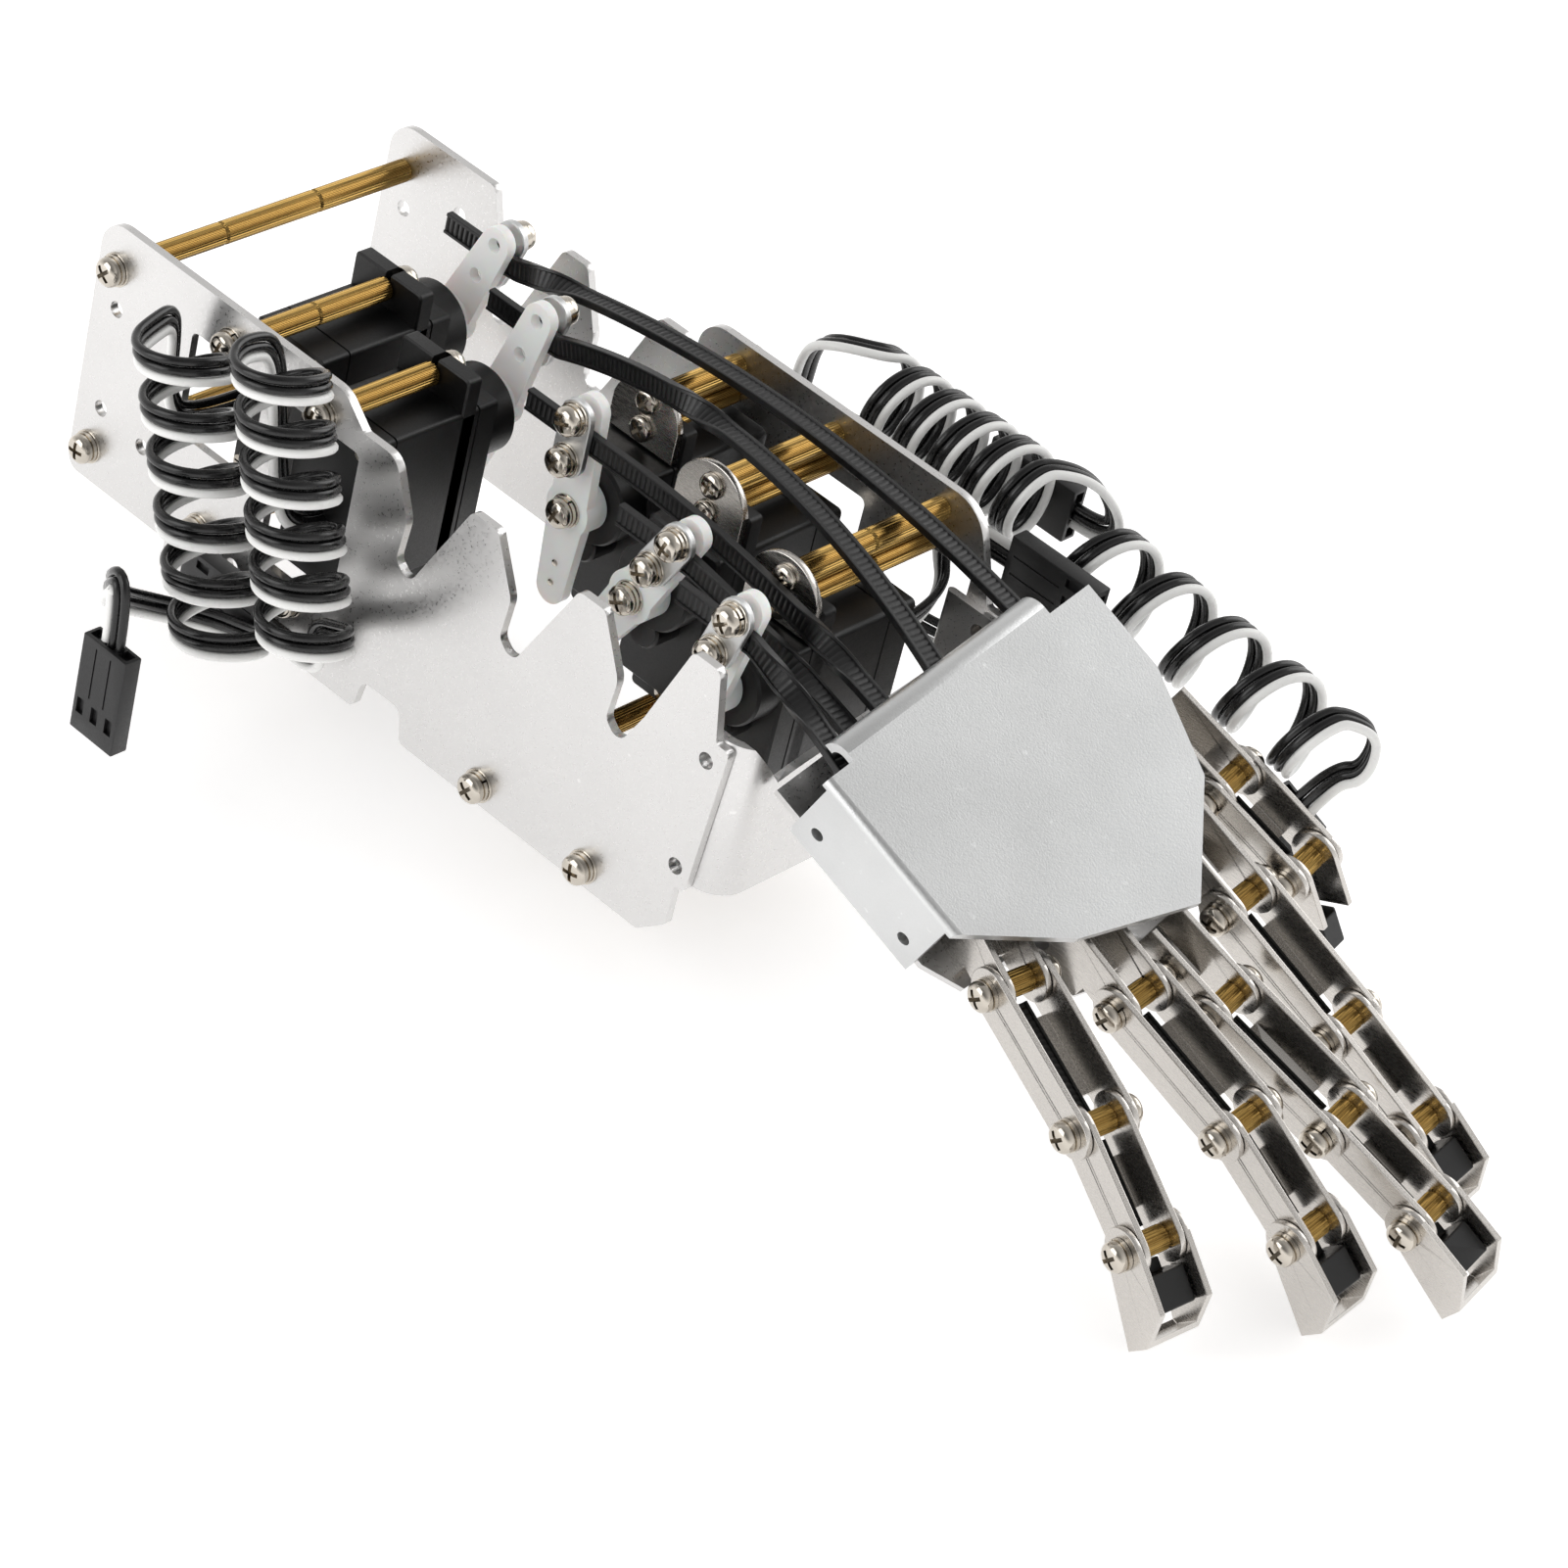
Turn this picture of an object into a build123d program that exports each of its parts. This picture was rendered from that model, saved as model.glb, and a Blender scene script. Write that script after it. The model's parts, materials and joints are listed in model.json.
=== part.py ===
from build123d import *
from math import cos, degrees, radians, sin, tan
import os

os.makedirs("parts", exist_ok=True)

# Frame: X runs from the elbow to the fingertips, Y from the near side plate to the far one,
# Z up. Sizes are drawn from the front bottom corner of the side plates, half way between
# them. Each part is then saved with its origin on the axis of the lower mounting hole.

# Driving sizes, mm

arm_width = 51.0            # over the outer faces of the side plates
plate_thickness = 1.2
rear_x = -105.0             # rear edge of the side plates
rear_floor_z = 3.0          # the rear of both plates stands this far off the bottom line
rear_top_z = 40.8
mounting_hole = (-100.6, 14.2)  # lower rear hole through both plates, x and z
mounting_spacing = 15.0     # up to the second mounting hole
peak_top_z = 37.5
front_top_z = 43.2          # top of the far plate over the front servos

servo_width = 12.2
servo_length = 22.8
servo_ear_reach = 4.75      # each mounting ear past the body
servo_ear_thickness = 2.5
servo_ear_level = 15.9      # underside of the ears over the back of the case
servo_body_height = 22.5
servo_boss_height = 26.7
servo_boss_diameter = 11.8
shaft_to_end = 5.9          # output shaft to the near end of the case
ear_hole_inset = 2.6        # ear hole from the end of the case
shaft_z = 27.5              # height of all five output shafts

standoff_diameter = 3.0
screw_diameter = 2.0
screw_head_diameter = 3.5
screw_head_height = 1.0
screw_clearance = 0.1       # on the radius of every screw hole
upper_standoff_rise = 4.0   # spare standoff of each ear plate over the ear screw

horn_hub_diameter = 7.0
horn_long_arm = 17.0
horn_short_arm = 14.0
horn_tip_width = 4.6
horn_lift = 2.3             # boss of the servo to the underside of the arm
horn_thickness = 1.5
clamp_radius = 11.5         # shaft to the middle of the strap
clamp_screw_spread = 3.0    # clamp screws to either side of the strap
clamp_thickness = 1.0
clamp_screw_diameter = 1.9

strap_width = 3.0
strap_thickness = 1.1
strap_play = 0.1            # to horn and clamp, on each face

palm_pitch = 25.0           # down towards the fingertips
palm_yaw = 8.0
palm_roll = 13.0            # far side up
palm_corner = (19.3, -23.0, 34.6)
palm_thickness = 1.2
palm_depth = 12.4           # flanges of the cover
pivot_depth = 6.0           # knuckle axes under the top of the cover

link_wall = 0.8
narrow_width = 6.0          # over the walls of brackets and middle links
link_gap = 0.1              # between a narrow and a wide channel, each side
link_radius = 3.2
spacer_diameter = 3.2
pin_diameter = 1.8
pin_clearance = 0.06
proximal_length = 19.0
middle_length = 14.8
tip_length = 11.5
thumb_length = 13.3

lead_diameter = 2.6         # three wires in one bundle
coil_diameter = 11.5
coil_bore = 6.3
plug_length = 14.0
plug_width = 7.6
plug_thickness = 2.6

# Derived sizes

outer_y = arm_width / 2
inner_y = outer_y - plate_thickness
window_margin = 0.6
ear_hole_top = shaft_to_end + ear_hole_inset
ear_hole_bottom = shaft_to_end - servo_length - ear_hole_inset
ear_screw_z = shaft_z + ear_hole_top
lower_ear_z = shaft_z + ear_hole_bottom
screw_hole_radius = screw_diameter / 2 + screw_clearance
wide_width = narrow_width + 2 * (link_wall + link_gap)
web_start = link_radius + 1.0
horn_under = servo_boss_height + horn_lift
horn_top = horn_under + horn_thickness
strap_level = horn_top + strap_play + strap_thickness / 2

# Servo rows: shaft x, standoff under the ear, lean of the horn towards the fingertips in
# degrees. The rear two hang on the near plate, the front three on the far plate.
rear_servos = [
    (-80.5, 25.0, 20.0),
    (-63.5, 17.0, 15.0),
]
front_servos = [
    (-41.5, 13.0, 0.0),
    (-24.5, 19.0, 27.0),
    (-6.5, 25.0, 15.0),
]

# Strap rows, in the order of the servos: end height, rise of the bow, sideways slope, length
# that stands on edge.
strap_end_x = 24.0
straps = [
    (37.2, 7.0, 0.0, 8.0),
    (33.2, 9.8, -0.1, 27.0),
    (32.6, 2.9, -0.065, 43.0),
    (30.0, 1.0, -0.05, 20.0),
    (29.0, 0.6, -0.03, 8.0),
]

# Finger rows: root along and across the palm, fan angle, bend of the first and of the second
# link at rest, in degrees.
fingers = [
    (31.3, 6.2, -14.0, -4.0, 12.0),
    (41.4, 18.0, -3.0, -5.0, 14.0),
    (48.5, 27.2, 3.0, -4.0, 2.0),
    (40.4, 38.6, 0.0, 1.0, 3.0),
]
tip_bend = 8.0
thumb = (28.6, 48.2, 4.0, 0.0)
thumb_tip_bend = 38.0

palm = Plane(Location(palm_corner) * Rotation(0, 0, palm_yaw) * Rotation(0, palm_pitch, 0) * Rotation(palm_roll, 0, 0))


# All servos as number, shaft x, standoff, side of the plate (-1 near, 1 far), lean.
servos = [(number, x, standoff, -1, lean) for number, (x, standoff, lean) in enumerate(rear_servos, 1)]
servos += [(number, x, standoff, 1, lean) for number, (x, standoff, lean) in enumerate(front_servos, 3)]


def save(part, name):
    """Writes a part with the mounting hole at the origin."""
    part = part.moved(Location((-mounting_hole[0], 0, -mounting_hole[1])))
    part.label = name
    export_step(part, f"parts/{name}.step")


def back_y(standoff, side):
    """Back face of a servo that hangs on standoffs from one side plate."""
    return side * (inner_y - standoff + servo_ear_level)


def servo_plane(x, standoff, side):
    """Servo frame: shaft axis at the origin, Z along the shaft, Y up, back of the case at 0."""
    return Plane(origin=(x, back_y(standoff, side), shaft_z), x_dir=(side, 0, 0), z_dir=(0, -side, 0))


def pan_screw(place, length, diameter=screw_diameter):
    """Pan head screw: the head starts at the plane of the given place, the shank goes down."""
    with Locations(place):
        Cylinder(diameter / 2, length, align=(Align.CENTER, Align.CENTER, Align.MAX))
        with Locations((0, 0, screw_head_height / 2)):
            Cylinder(screw_head_diameter / 2, screw_head_height)


def rib_notch(x, top):
    """Corners of one notch in the top edge and of the peak in front of it, as x, z, radius."""
    flank = [(x - 3.5, 29.9, 3.0), (x - 4.0, 24.1, 1.5), (x - 1.4, 21.9, 1.5), (x + 1.5, 27.9, 3.0)]
    return flank + [(x + 6.2, top, 1.2), (x + 10.6, top, 1.2)]


front_tab = [(4.8, 31.2, 0.6), (7.0, 31.2, 0.8), (5.6, 9.4, 0.7), (4.0, 9.4, 0.5), (4.0, 3.4, 1.0), (0.0, 0.0, 0.5)]


def near_outline():
    corners = [(rear_x, rear_floor_z, 2.0), (rear_x, rear_top_z, 4.0), (-61.0, rear_top_z, 4.0)]
    corners += [(-56.8, 37.2, 0.8), (-51.0, 37.2, 3.0)]
    for x, top in ((-44.0, peak_top_z), (-25.8, peak_top_z), (-7.6, 40.5)):
        corners += rib_notch(x, top)
    corners += front_tab
    corners += [(-41.8, 0.0, 1.0), (-42.6, 4.6, 1.5), (-49.4, 4.6, 1.5), (-50.2, 0.0, 1.0)]
    return corners + [(-86.0, 0.0, 0.5), (-86.0, rear_floor_z, 0.5)]


def far_outline():
    corners = [(rear_x, rear_floor_z, 2.0), (rear_x, rear_top_z, 4.0), (-86.0, rear_top_z, 1.2)]
    for x in (-79.0, -61.5):
        corners += rib_notch(x, rear_top_z - 2.0)
    corners += [(-48.6, 35.0, 0.3), (-48.6, front_top_z, 4.0), (-1.0, front_top_z, 6.0), (3.6, 31.2, 0.6)]
    corners += front_tab[1:]
    return corners + [(-86.0, 0.0, 0.5), (-86.0, rear_floor_z, 0.5)]


bracket_holes = [(3.4, 12.0), (4.0, 28.2)]
mounting_holes = [mounting_hole, (mounting_hole[0], mounting_hole[1] + mounting_spacing)]
spare_holes = [(-92.6, 13.2), (-88.0, 19.0), (-74.0, 6.4)]
crossbars = [(-101.6, 34.6), (-101.6, 7.8), (-28.0, 2.8), (-9.7, 2.8)]


def plate(outline, holes, windows, side):
    """One side plate, cut from sheet, on the given side of the arm."""
    with BuildPart() as sheet:
        with BuildSketch(Plane.XZ.offset(-side * outer_y)):
            with BuildLine():
                FilletPolyline(*[(x, z) for x, z, r in outline], radius=[r for x, z, r in outline], close=True)
            make_face()
            for x, z, width, height in windows:
                with Locations((x, z)):
                    RectangleRounded(width, height, 1.0, mode=Mode.SUBTRACT)
            with Locations(*holes):
                Circle(screw_hole_radius, mode=Mode.SUBTRACT)
        extrude(amount=side * plate_thickness)
    return sheet.part


case_middle_z = shaft_z + shaft_to_end - servo_length / 2
window_height = servo_length + 2 * window_margin
window_width = servo_width + 2 * window_margin

near_holes = crossbars + bracket_holes + mounting_holes + spare_holes
for x, standoff, lean in rear_servos:
    near_holes = near_holes + [(x, ear_screw_z), (x, lower_ear_z)]
near_windows = [
    (rear_servos[0][0], case_middle_z + 4.5, window_width, window_height - 9.0),
    (rear_servos[1][0], case_middle_z, window_width, window_height),
]
near_side_plate = plate(near_outline(), near_holes, near_windows, -1)
save(near_side_plate, "near_side_plate")

far_holes = crossbars + bracket_holes + mounting_holes + [spare_holes[0], (-91.0, 33.6)]
for x, standoff, lean in front_servos:
    far_holes = far_holes + [(x, ear_screw_z), (x, lower_ear_z), (x, ear_screw_z + upper_standoff_rise)]
far_windows = [(x, case_middle_z, window_width, window_height) for x, standoff, lean in front_servos]
far_side_plate = plate(far_outline(), far_holes, far_windows, 1)
save(far_side_plate, "far_side_plate")

# Standoffs: four crossbars and the posts that carry the servo ears


def standoff_rod(x, z, y_from, y_to):
    """Threaded spacer along Y with a bore at both ends."""
    middle = (y_from + y_to) / 2
    length = abs(y_to - y_from)
    bore = min(5.0, length / 2 - 1.0)
    with Locations(Location((x, middle, z), (90, 0, 0))):
        Cylinder(standoff_diameter / 2, length)
        for end in (-1, 1):
            with Locations((0, 0, end * (length - bore) / 2)):
                Cylinder(screw_diameter / 2 + 0.05, bore, mode=Mode.SUBTRACT)


ear_plate_thickness = 1.0

with BuildPart() as standoffs:
    for x, z in crossbars:
        standoff_rod(x, z, -inner_y, inner_y)
    for number, x, standoff, side, lean in servos:
        ear_back = side * (inner_y - standoff)
        for z in (ear_screw_z, lower_ear_z):
            standoff_rod(x, z, side * inner_y, ear_back)
        if side > 0:
            ear_front = ear_back - side * servo_ear_thickness
            standoff_rod(x, ear_screw_z + upper_standoff_rise, side * inner_y, ear_front)
save(standoffs.part, "standoffs")

# Rounded sheet plates that clamp the top ears of the three front servos.
with BuildPart() as servo_ear_plates:
    for x, standoff, lean in front_servos:
        ear_front = inner_y - standoff - servo_ear_thickness
        with BuildSketch(Plane.XZ.offset(-ear_front)):
            with BuildLine():
                bottom = shaft_z + shaft_to_end + 0.3
                crown = ear_screw_z + upper_standoff_rise + 2.9
                Polyline((x + 5.6, crown - 4.6), (x + 5.6, bottom), (x - 5.6, bottom), (x - 5.6, crown - 4.6))
                ThreePointArc((x - 5.6, crown - 4.6), (x, crown), (x + 5.6, crown - 4.6))
            make_face()
            with Locations((x, ear_screw_z), (x, ear_screw_z + upper_standoff_rise)):
                Circle(screw_hole_radius, mode=Mode.SUBTRACT)
        extrude(amount=ear_plate_thickness)
save(servo_ear_plates.part, "servo_ear_plates")

# Pan head screws of the frame and of the ears.
def facing(x, y, z, side):
    """Place on the XZ plane at y, heads towards the near side (-1) or the far side (1)."""
    return Location((x, y, z), (-90 * side, 0, 0))


with BuildPart() as frame_screws:
    for side in (-1, 1):
        for x, z in crossbars + bracket_holes:
            pan_screw(facing(x, side * outer_y, z, side), 4.5)
    for number, x, standoff, side, lean in servos:
        ear_front = side * (inner_y - standoff - servo_ear_thickness)
        clamp_front = ear_front - (ear_plate_thickness if side > 0 else 0.0)
        for z in (ear_screw_z, lower_ear_z):
            front = clamp_front if z == ear_screw_z else ear_front
            pan_screw(facing(x, side * outer_y, z, side), 4.5)
            pan_screw(facing(x, front, z, -side), abs(front - ear_front) + servo_ear_thickness + 3.0)
        if side > 0:
            z = ear_screw_z + upper_standoff_rise
            pan_screw(facing(x, outer_y, z, 1), 4.5)
            pan_screw(facing(x, clamp_front, z, -1), ear_plate_thickness + 3.0)
save(frame_screws.part, "frame_screws")

# Servos, horns, strap clamps

with BuildPart() as servo_case:
    case_y = shaft_to_end - servo_length / 2
    with Locations((0, case_y, servo_body_height / 2)):
        Box(servo_width, servo_length, servo_body_height)
    with Locations((0, case_y, servo_ear_level + servo_ear_thickness / 2)):
        Box(servo_width, servo_length + 2 * servo_ear_reach, servo_ear_thickness)
    chamfer(servo_case.edges().filter_by(Axis.Z), 0.4)
    with BuildSketch(Plane.XY.offset(servo_body_height)):
        Circle(servo_boss_diameter / 2)
        with Locations((0, -6.4)):
            Circle(2.6)
    extrude(amount=servo_boss_height - servo_body_height)
    with BuildSketch(Plane.XY.offset(servo_boss_height)):
        Circle(2.3)
    extrude(amount=horn_under - servo_boss_height - 0.2)
    for y in (ear_hole_top, ear_hole_bottom):
        outward = 1 if y > 0 else -1
        with BuildSketch(Plane.XY.offset(servo_ear_level)):
            with Locations((0, y)):
                Circle(screw_hole_radius)
            with Locations((0, y + outward * 1.6)):
                Rectangle(1.1, 3.2)
        extrude(amount=servo_ear_thickness, mode=Mode.SUBTRACT)

for number, x, standoff, side, lean in servos:
    save(servo_case.part.moved(servo_plane(x, standoff, side).location), f"servo_{number}")

hub_under = servo_boss_height + 0.3
shaft_hole = 2.3 + 0.08

with BuildPart() as horn:
    with BuildSketch(Plane.XY.offset(horn_under)):
        with BuildLine():
            Polyline((-3.1, 0), (-horn_tip_width / 2, horn_long_arm - horn_tip_width / 2),
                     (horn_tip_width / 2, horn_long_arm - horn_tip_width / 2), (3.1, 0),
                     (horn_tip_width / 2, horn_tip_width / 2 - horn_short_arm),
                     (-horn_tip_width / 2, horn_tip_width / 2 - horn_short_arm), close=True)
        make_face()
        with Locations((0, horn_long_arm - horn_tip_width / 2), (0, horn_tip_width / 2 - horn_short_arm)):
            Circle(horn_tip_width / 2)
        Circle(horn_hub_diameter / 2)
    extrude(amount=horn_top - horn_under)
    with BuildSketch(Plane.XY.offset(hub_under)):
        Circle(horn_hub_diameter / 2)
    extrude(amount=horn_under - hub_under)
    with BuildSketch(Plane.XY.offset(hub_under)):
        Circle(shaft_hole)
    extrude(amount=horn_under - hub_under, mode=Mode.SUBTRACT)
    with BuildSketch(Plane.XY.offset(horn_under)):
        Circle(screw_hole_radius)
        with Locations((0, clamp_radius - clamp_screw_spread), (0, clamp_radius + clamp_screw_spread)):
            Circle(clamp_screw_diameter / 2 + 0.05)
    extrude(amount=horn_top - horn_under, mode=Mode.SUBTRACT)

clamp_under = horn_top + strap_thickness + 2 * strap_play

with BuildPart() as strap_clamp:
    with BuildSketch(Plane.XY.offset(clamp_under)):
        with Locations((0, clamp_radius)):
            SlotOverall(2 * clamp_screw_spread + 5.0, 5.0, rotation=90)
        with Locations((0, clamp_radius - clamp_screw_spread), (0, clamp_radius + clamp_screw_spread)):
            Circle(clamp_screw_diameter / 2, mode=Mode.SUBTRACT)
    extrude(amount=clamp_thickness)
    for y in (clamp_radius - clamp_screw_spread, clamp_radius + clamp_screw_spread):
        place = Location((0, y, clamp_under + clamp_thickness))
        pan_screw(place, clamp_under + clamp_thickness - horn_under + 0.4, clamp_screw_diameter)
    pan_screw(Location((0, 0, horn_top)), horn_top - horn_under - 0.3)

for number, x, standoff, side, lean in servos:
    turned = servo_plane(x, standoff, side).location * Location((0, 0, 0), (0, 0, -side * lean))
    save(horn.part.moved(turned), f"servo_horn_{number}")
    save(strap_clamp.part.moved(turned), f"horn_clamp_{number}")

# Straps: on edge through the clamp, flat towards the palm


def band(start, end, rise, s_from, s_to, thickness, width):
    """Strip along the bow from start to end, cut between two stations, in the local XZ plane."""
    steps = 8
    run = end[0] - start[0]

    def centre(s):
        t = (s - start[0]) / run
        return (s, start[1] + (end[1] - start[1]) * t + 4 * rise * t * (1 - t))

    stations = [centre(s_from + (s_to - s_from) * k / steps) for k in range(steps + 1)]
    upper = [(s, z + thickness / 2) for s, z in stations]
    lower = [(s, z - thickness / 2) for s, z in stations]
    with BuildPart() as strip:
        with BuildSketch(Plane.XZ):
            with BuildLine():
                Spline(*upper)
                Line(upper[-1], lower[-1])
                Spline(*lower[::-1])
                Line(lower[0], upper[0])
            make_face()
        extrude(amount=width / 2, both=True)
    return strip.part


for number, x, standoff, side, lean in servos:
    end_z, rise, slope, on_edge = straps[number - 1]
    clamp_x = x + clamp_radius * sin(radians(lean))
    clamp_z = shaft_z + clamp_radius * cos(radians(lean))
    clamp_y = back_y(standoff, side) - side * strap_level
    run = strap_end_x - clamp_x
    edge_from = 3.2
    with BuildPart() as strap:
        Box(edge_from + 9.0, strap_thickness, strap_width, align=(Align.MIN, Align.CENTER, Align.CENTER))
        strap.part = strap.part.moved(Location((-9.0, 0, 0)))
    swing = Location((edge_from - 0.4, 0, 0), (0, 0, degrees(slope)))
    start = (0.0, 0.0)
    reach = (run - edge_from, end_z - clamp_z)
    upright = band(start, reach, rise, 0.0, on_edge, strap_width, strap_thickness)
    flat = band(start, reach, rise, on_edge - 1.5, run - edge_from, strap_thickness, strap_width)
    whole = strap.part + upright.moved(swing) + flat.moved(swing)
    save(whole.moved(Location((clamp_x, clamp_y, clamp_z))), f"strap_{number}")

# Wrist bracket and palm cover

palm_outline = [(0, 0), (0, 47.0), (12.8, 47.0), (26.4, 42.0), (37.8, 29.6), (32.1, 13.0), (22.8, 0)]
lip_radius = 2.6
tray_thickness = 1.0
tray_top = -palm_depth + tray_thickness + 0.2

with BuildPart() as palm_cover:
    with BuildSketch():
        with BuildLine():
            Polyline(*palm_outline, close=True)
        make_face()
    extrude(amount=-palm_thickness)
    for v, u_from, u_to in ((palm_thickness / 2, 0.8, 22.0), (47.0 - palm_thickness / 2, 0.8, 12.4)):
        with Locations(((u_from + u_to) / 2, v, -palm_depth / 2)):
            Box(u_to - u_from, palm_thickness, palm_depth)
    near_bend = palm_cover.edges().filter_by(Axis.X).group_by(Axis.Z)[-1].sort_by(Axis.Y)[0]
    fillet(near_bend, 1.0)
    with BuildSketch(Plane.XZ):
        with BuildLine():
            Line((0, 0), (-1.0, 0))
            JernArc((-1.0, 0), (-1, 0), lip_radius, 90)
            Line((-1.0 - lip_radius, -lip_radius), (-1.0 - lip_radius + palm_thickness, -lip_radius))
            JernArc((-1.0 - lip_radius + palm_thickness, -lip_radius), (0, 1), lip_radius - palm_thickness, -90)
            Line((-1.0, -palm_thickness), (0, -palm_thickness))
            Line((0, -palm_thickness), (0, 0))
        make_face()
    extrude(amount=-39.8)
    with Locations((0, 2.4, 0)):
        Box(12, 4.8, 12, align=(Align.MAX, Align.CENTER, Align.CENTER), mode=Mode.SUBTRACT)
    for u in (3.6, 19.2):
        with Locations(Location((u, 0, -8.6), (90, 0, 0))):
            Cylinder(0.9, 6, mode=Mode.SUBTRACT)
save(palm_cover.part.moved(palm.location), "palm_cover")

# The tray under the palm cover carries the knuckles, its side walls stand inside the flanges.
tray_outline = [(-3.6, 1.4), (-3.6, 45.6), (12.8, 45.6), (16.0, 51.4), (27.0, 51.4), (27.0, 41.6),
                (35.6, 41.6), (37.4, 34.2), (43.6, 30.4), (43.6, 24.2), (38.8, 22.2), (36.6, 15.0),
                (28.4, 10.6), (28.0, 3.8), (22.8, 1.4)]
with BuildPart() as tray:
    with BuildSketch(Plane.XY.offset(tray_top)):
        with BuildLine():
            Polyline(*tray_outline, close=True)
        make_face()
    extrude(amount=-tray_thickness)
    for v, u_to in ((1.4 + 0.5, 22.0), (45.6 - 0.5, 12.4)):
        with Locations(((0.8 + u_to) / 2, v, tray_top)):
            Box(u_to - 0.8, 1.0, 5.5, align=(Align.CENTER, Align.CENTER, Align.MIN))
    for u in (3.6, 19.2):
        with Locations(Location((u, 0, -8.6), (90, 0, 0))):
            Cylinder(0.9, 10, mode=Mode.SUBTRACT)

wall_x = 9.0
wall_bend = 4.0
with BuildPart() as wrist_bracket:
    with BuildSketch(Plane.XY.offset(9.8)) as plan:
        with BuildLine() as centreline:
            side_y = inner_y - 0.6
            FilletPolyline((-1.5, -side_y), (wall_x, -side_y), (wall_x, side_y), (-1.5, side_y), radius=wall_bend)
            offset(amount=0.6)
        make_face()
    extrude(amount=40.0)
    with BuildSketch(Plane.YZ) as wall_front:
        with BuildLine():
            Polyline((-inner_y - 2, 60), (-inner_y - 2, 31.6), (-inner_y + 1.6, 31.6), (-inner_y + 6.0, 25.8),
                     (-inner_y + 9.0, 26.6), (inner_y - 9.0, 33.0), (inner_y - 5.0, 31.0), (inner_y + 2, 31.0),
                     (inner_y + 2, 60), close=True)
        make_face()
    extrude(amount=30, both=True, mode=Mode.SUBTRACT)
    for x, z in bracket_holes:
        with Locations(Location((x, 0, z), (90, 0, 0))):
            Cylinder(screw_hole_radius, 80, mode=Mode.SUBTRACT)
bracket = wrist_bracket.part + tray.part.moved(palm.location)
save(bracket, "wrist_bracket")

# Fingers


def channel(length, width, tail, nose, web_from, web_to):
    """U channel along X from its first pivot at 0 to its second pivot at length."""
    height = 2 * link_radius
    with BuildPart() as link:
        with BuildSketch(Plane.XZ):
            with Locations(((length + nose - tail) / 2, 0)):
                Rectangle(length + tail + nose, height)
            if tail == 0:
                Circle(link_radius)
            if nose == 0:
                with Locations((length, 0)):
                    Circle(link_radius)
        extrude(amount=width / 2, both=True)
        with Locations(((length + nose - tail) / 2, 0, link_wall)):
            Box(length + tail + nose + 20, width - 2 * link_wall, height, mode=Mode.SUBTRACT)
        for x_from, x_to in ((-tail - link_radius - 1, web_from), (web_to, length + nose + link_radius + 1)):
            if x_to > x_from:
                with Locations(((x_from + x_to) / 2, 0, -link_radius + link_wall / 2)):
                    Box(x_to - x_from, width - 2 * link_wall, link_wall * 1.5, mode=Mode.SUBTRACT)
        for x in (0, length):
            with Locations(Location((x, 0, 0), (90, 0, 0))):
                Cylinder(pin_diameter / 2 + pin_clearance, width + 2, mode=Mode.SUBTRACT)
    return link.part


def fingertip(length):
    """Wide end link: walls taper to a closed front web."""
    height = 2 * link_radius
    with BuildPart() as link:
        with BuildSketch(Plane.XZ):
            with BuildLine():
                Polyline((0, link_radius), (0, -link_radius), (length, -link_radius - 2.4),
                         (length, -link_radius + 1.4), (length - 3.6, link_radius), close=True)
            make_face()
            Circle(link_radius)
        extrude(amount=wide_width / 2, both=True)
        with BuildSketch(Plane.XZ):
            with BuildLine():
                Polyline((-link_radius - 1, link_radius + 1), (-link_radius - 1, -link_radius - 4),
                         (length - 4.0, -link_radius - 4), (length - link_wall, -link_radius - 1.6),
                         (length - link_wall, link_radius + 1), close=True)
            make_face()
        extrude(amount=wide_width / 2 - link_wall, both=True, mode=Mode.SUBTRACT)
        with Locations(Location((0, 0, 0), (90, 0, 0))):
            Cylinder(pin_diameter / 2 + pin_clearance, wide_width + 2, mode=Mode.SUBTRACT)
    return link.part


def joint_pin():
    """Knurled spacer between the narrow walls, screw shanks and heads outside the wide walls."""
    spacer = narrow_width - 2 * link_wall
    with BuildPart() as pin:
        with Locations(Location((0, 0, 0), (90, 0, 0))):
            Cylinder(spacer_diameter / 2, spacer)
            Cylinder(pin_diameter / 2, wide_width)
            for end in (-1, 1):
                with Locations((0, 0, end * (wide_width + screw_head_height + 0.1) / 2)):
                    Cylinder(screw_head_diameter / 2, screw_head_height)
                with Locations((0, 0, end * wide_width / 2)):
                    Cylinder(pin_diameter / 2, 0.4)
    return pin.part


def strap_head(width, reach):
    """Square lock on the end of a strap, its stub running back to the last pivot."""
    with BuildPart() as head:
        with Locations((reach + 2.2, 0, -0.6)):
            Box(4.4, width, 4.4)
        chamfer(head.edges().filter_by(Axis.X), 0.5)
        with Locations((spacer_diameter / 2 + 0.4, 0, -link_radius + link_wall + 0.1)):
            Box(reach - spacer_diameter / 2, strap_width, strap_thickness, align=(Align.MIN, Align.CENTER, Align.MIN))
    return head.part


def bent(place, length, bend):
    """Frame at the far pivot of a link, turned down by the bend."""
    return place * Location((length, 0, 0), (0, bend, 0))


bracket_reach = 12.0
tip_head_width = wide_width - 2 * link_wall - 0.5
proximal = channel(proximal_length, wide_width, 0, 0, web_start, proximal_length - web_start)
middle = channel(middle_length, narrow_width, 0, 0, web_start, middle_length - web_start)
knuckle = channel(0, narrow_width, bracket_reach, 0, -bracket_reach, -web_start)
pin = joint_pin()
knuckles = []
knuckle_pins = []
foot_drop = -pivot_depth - link_radius - tray_top

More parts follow.
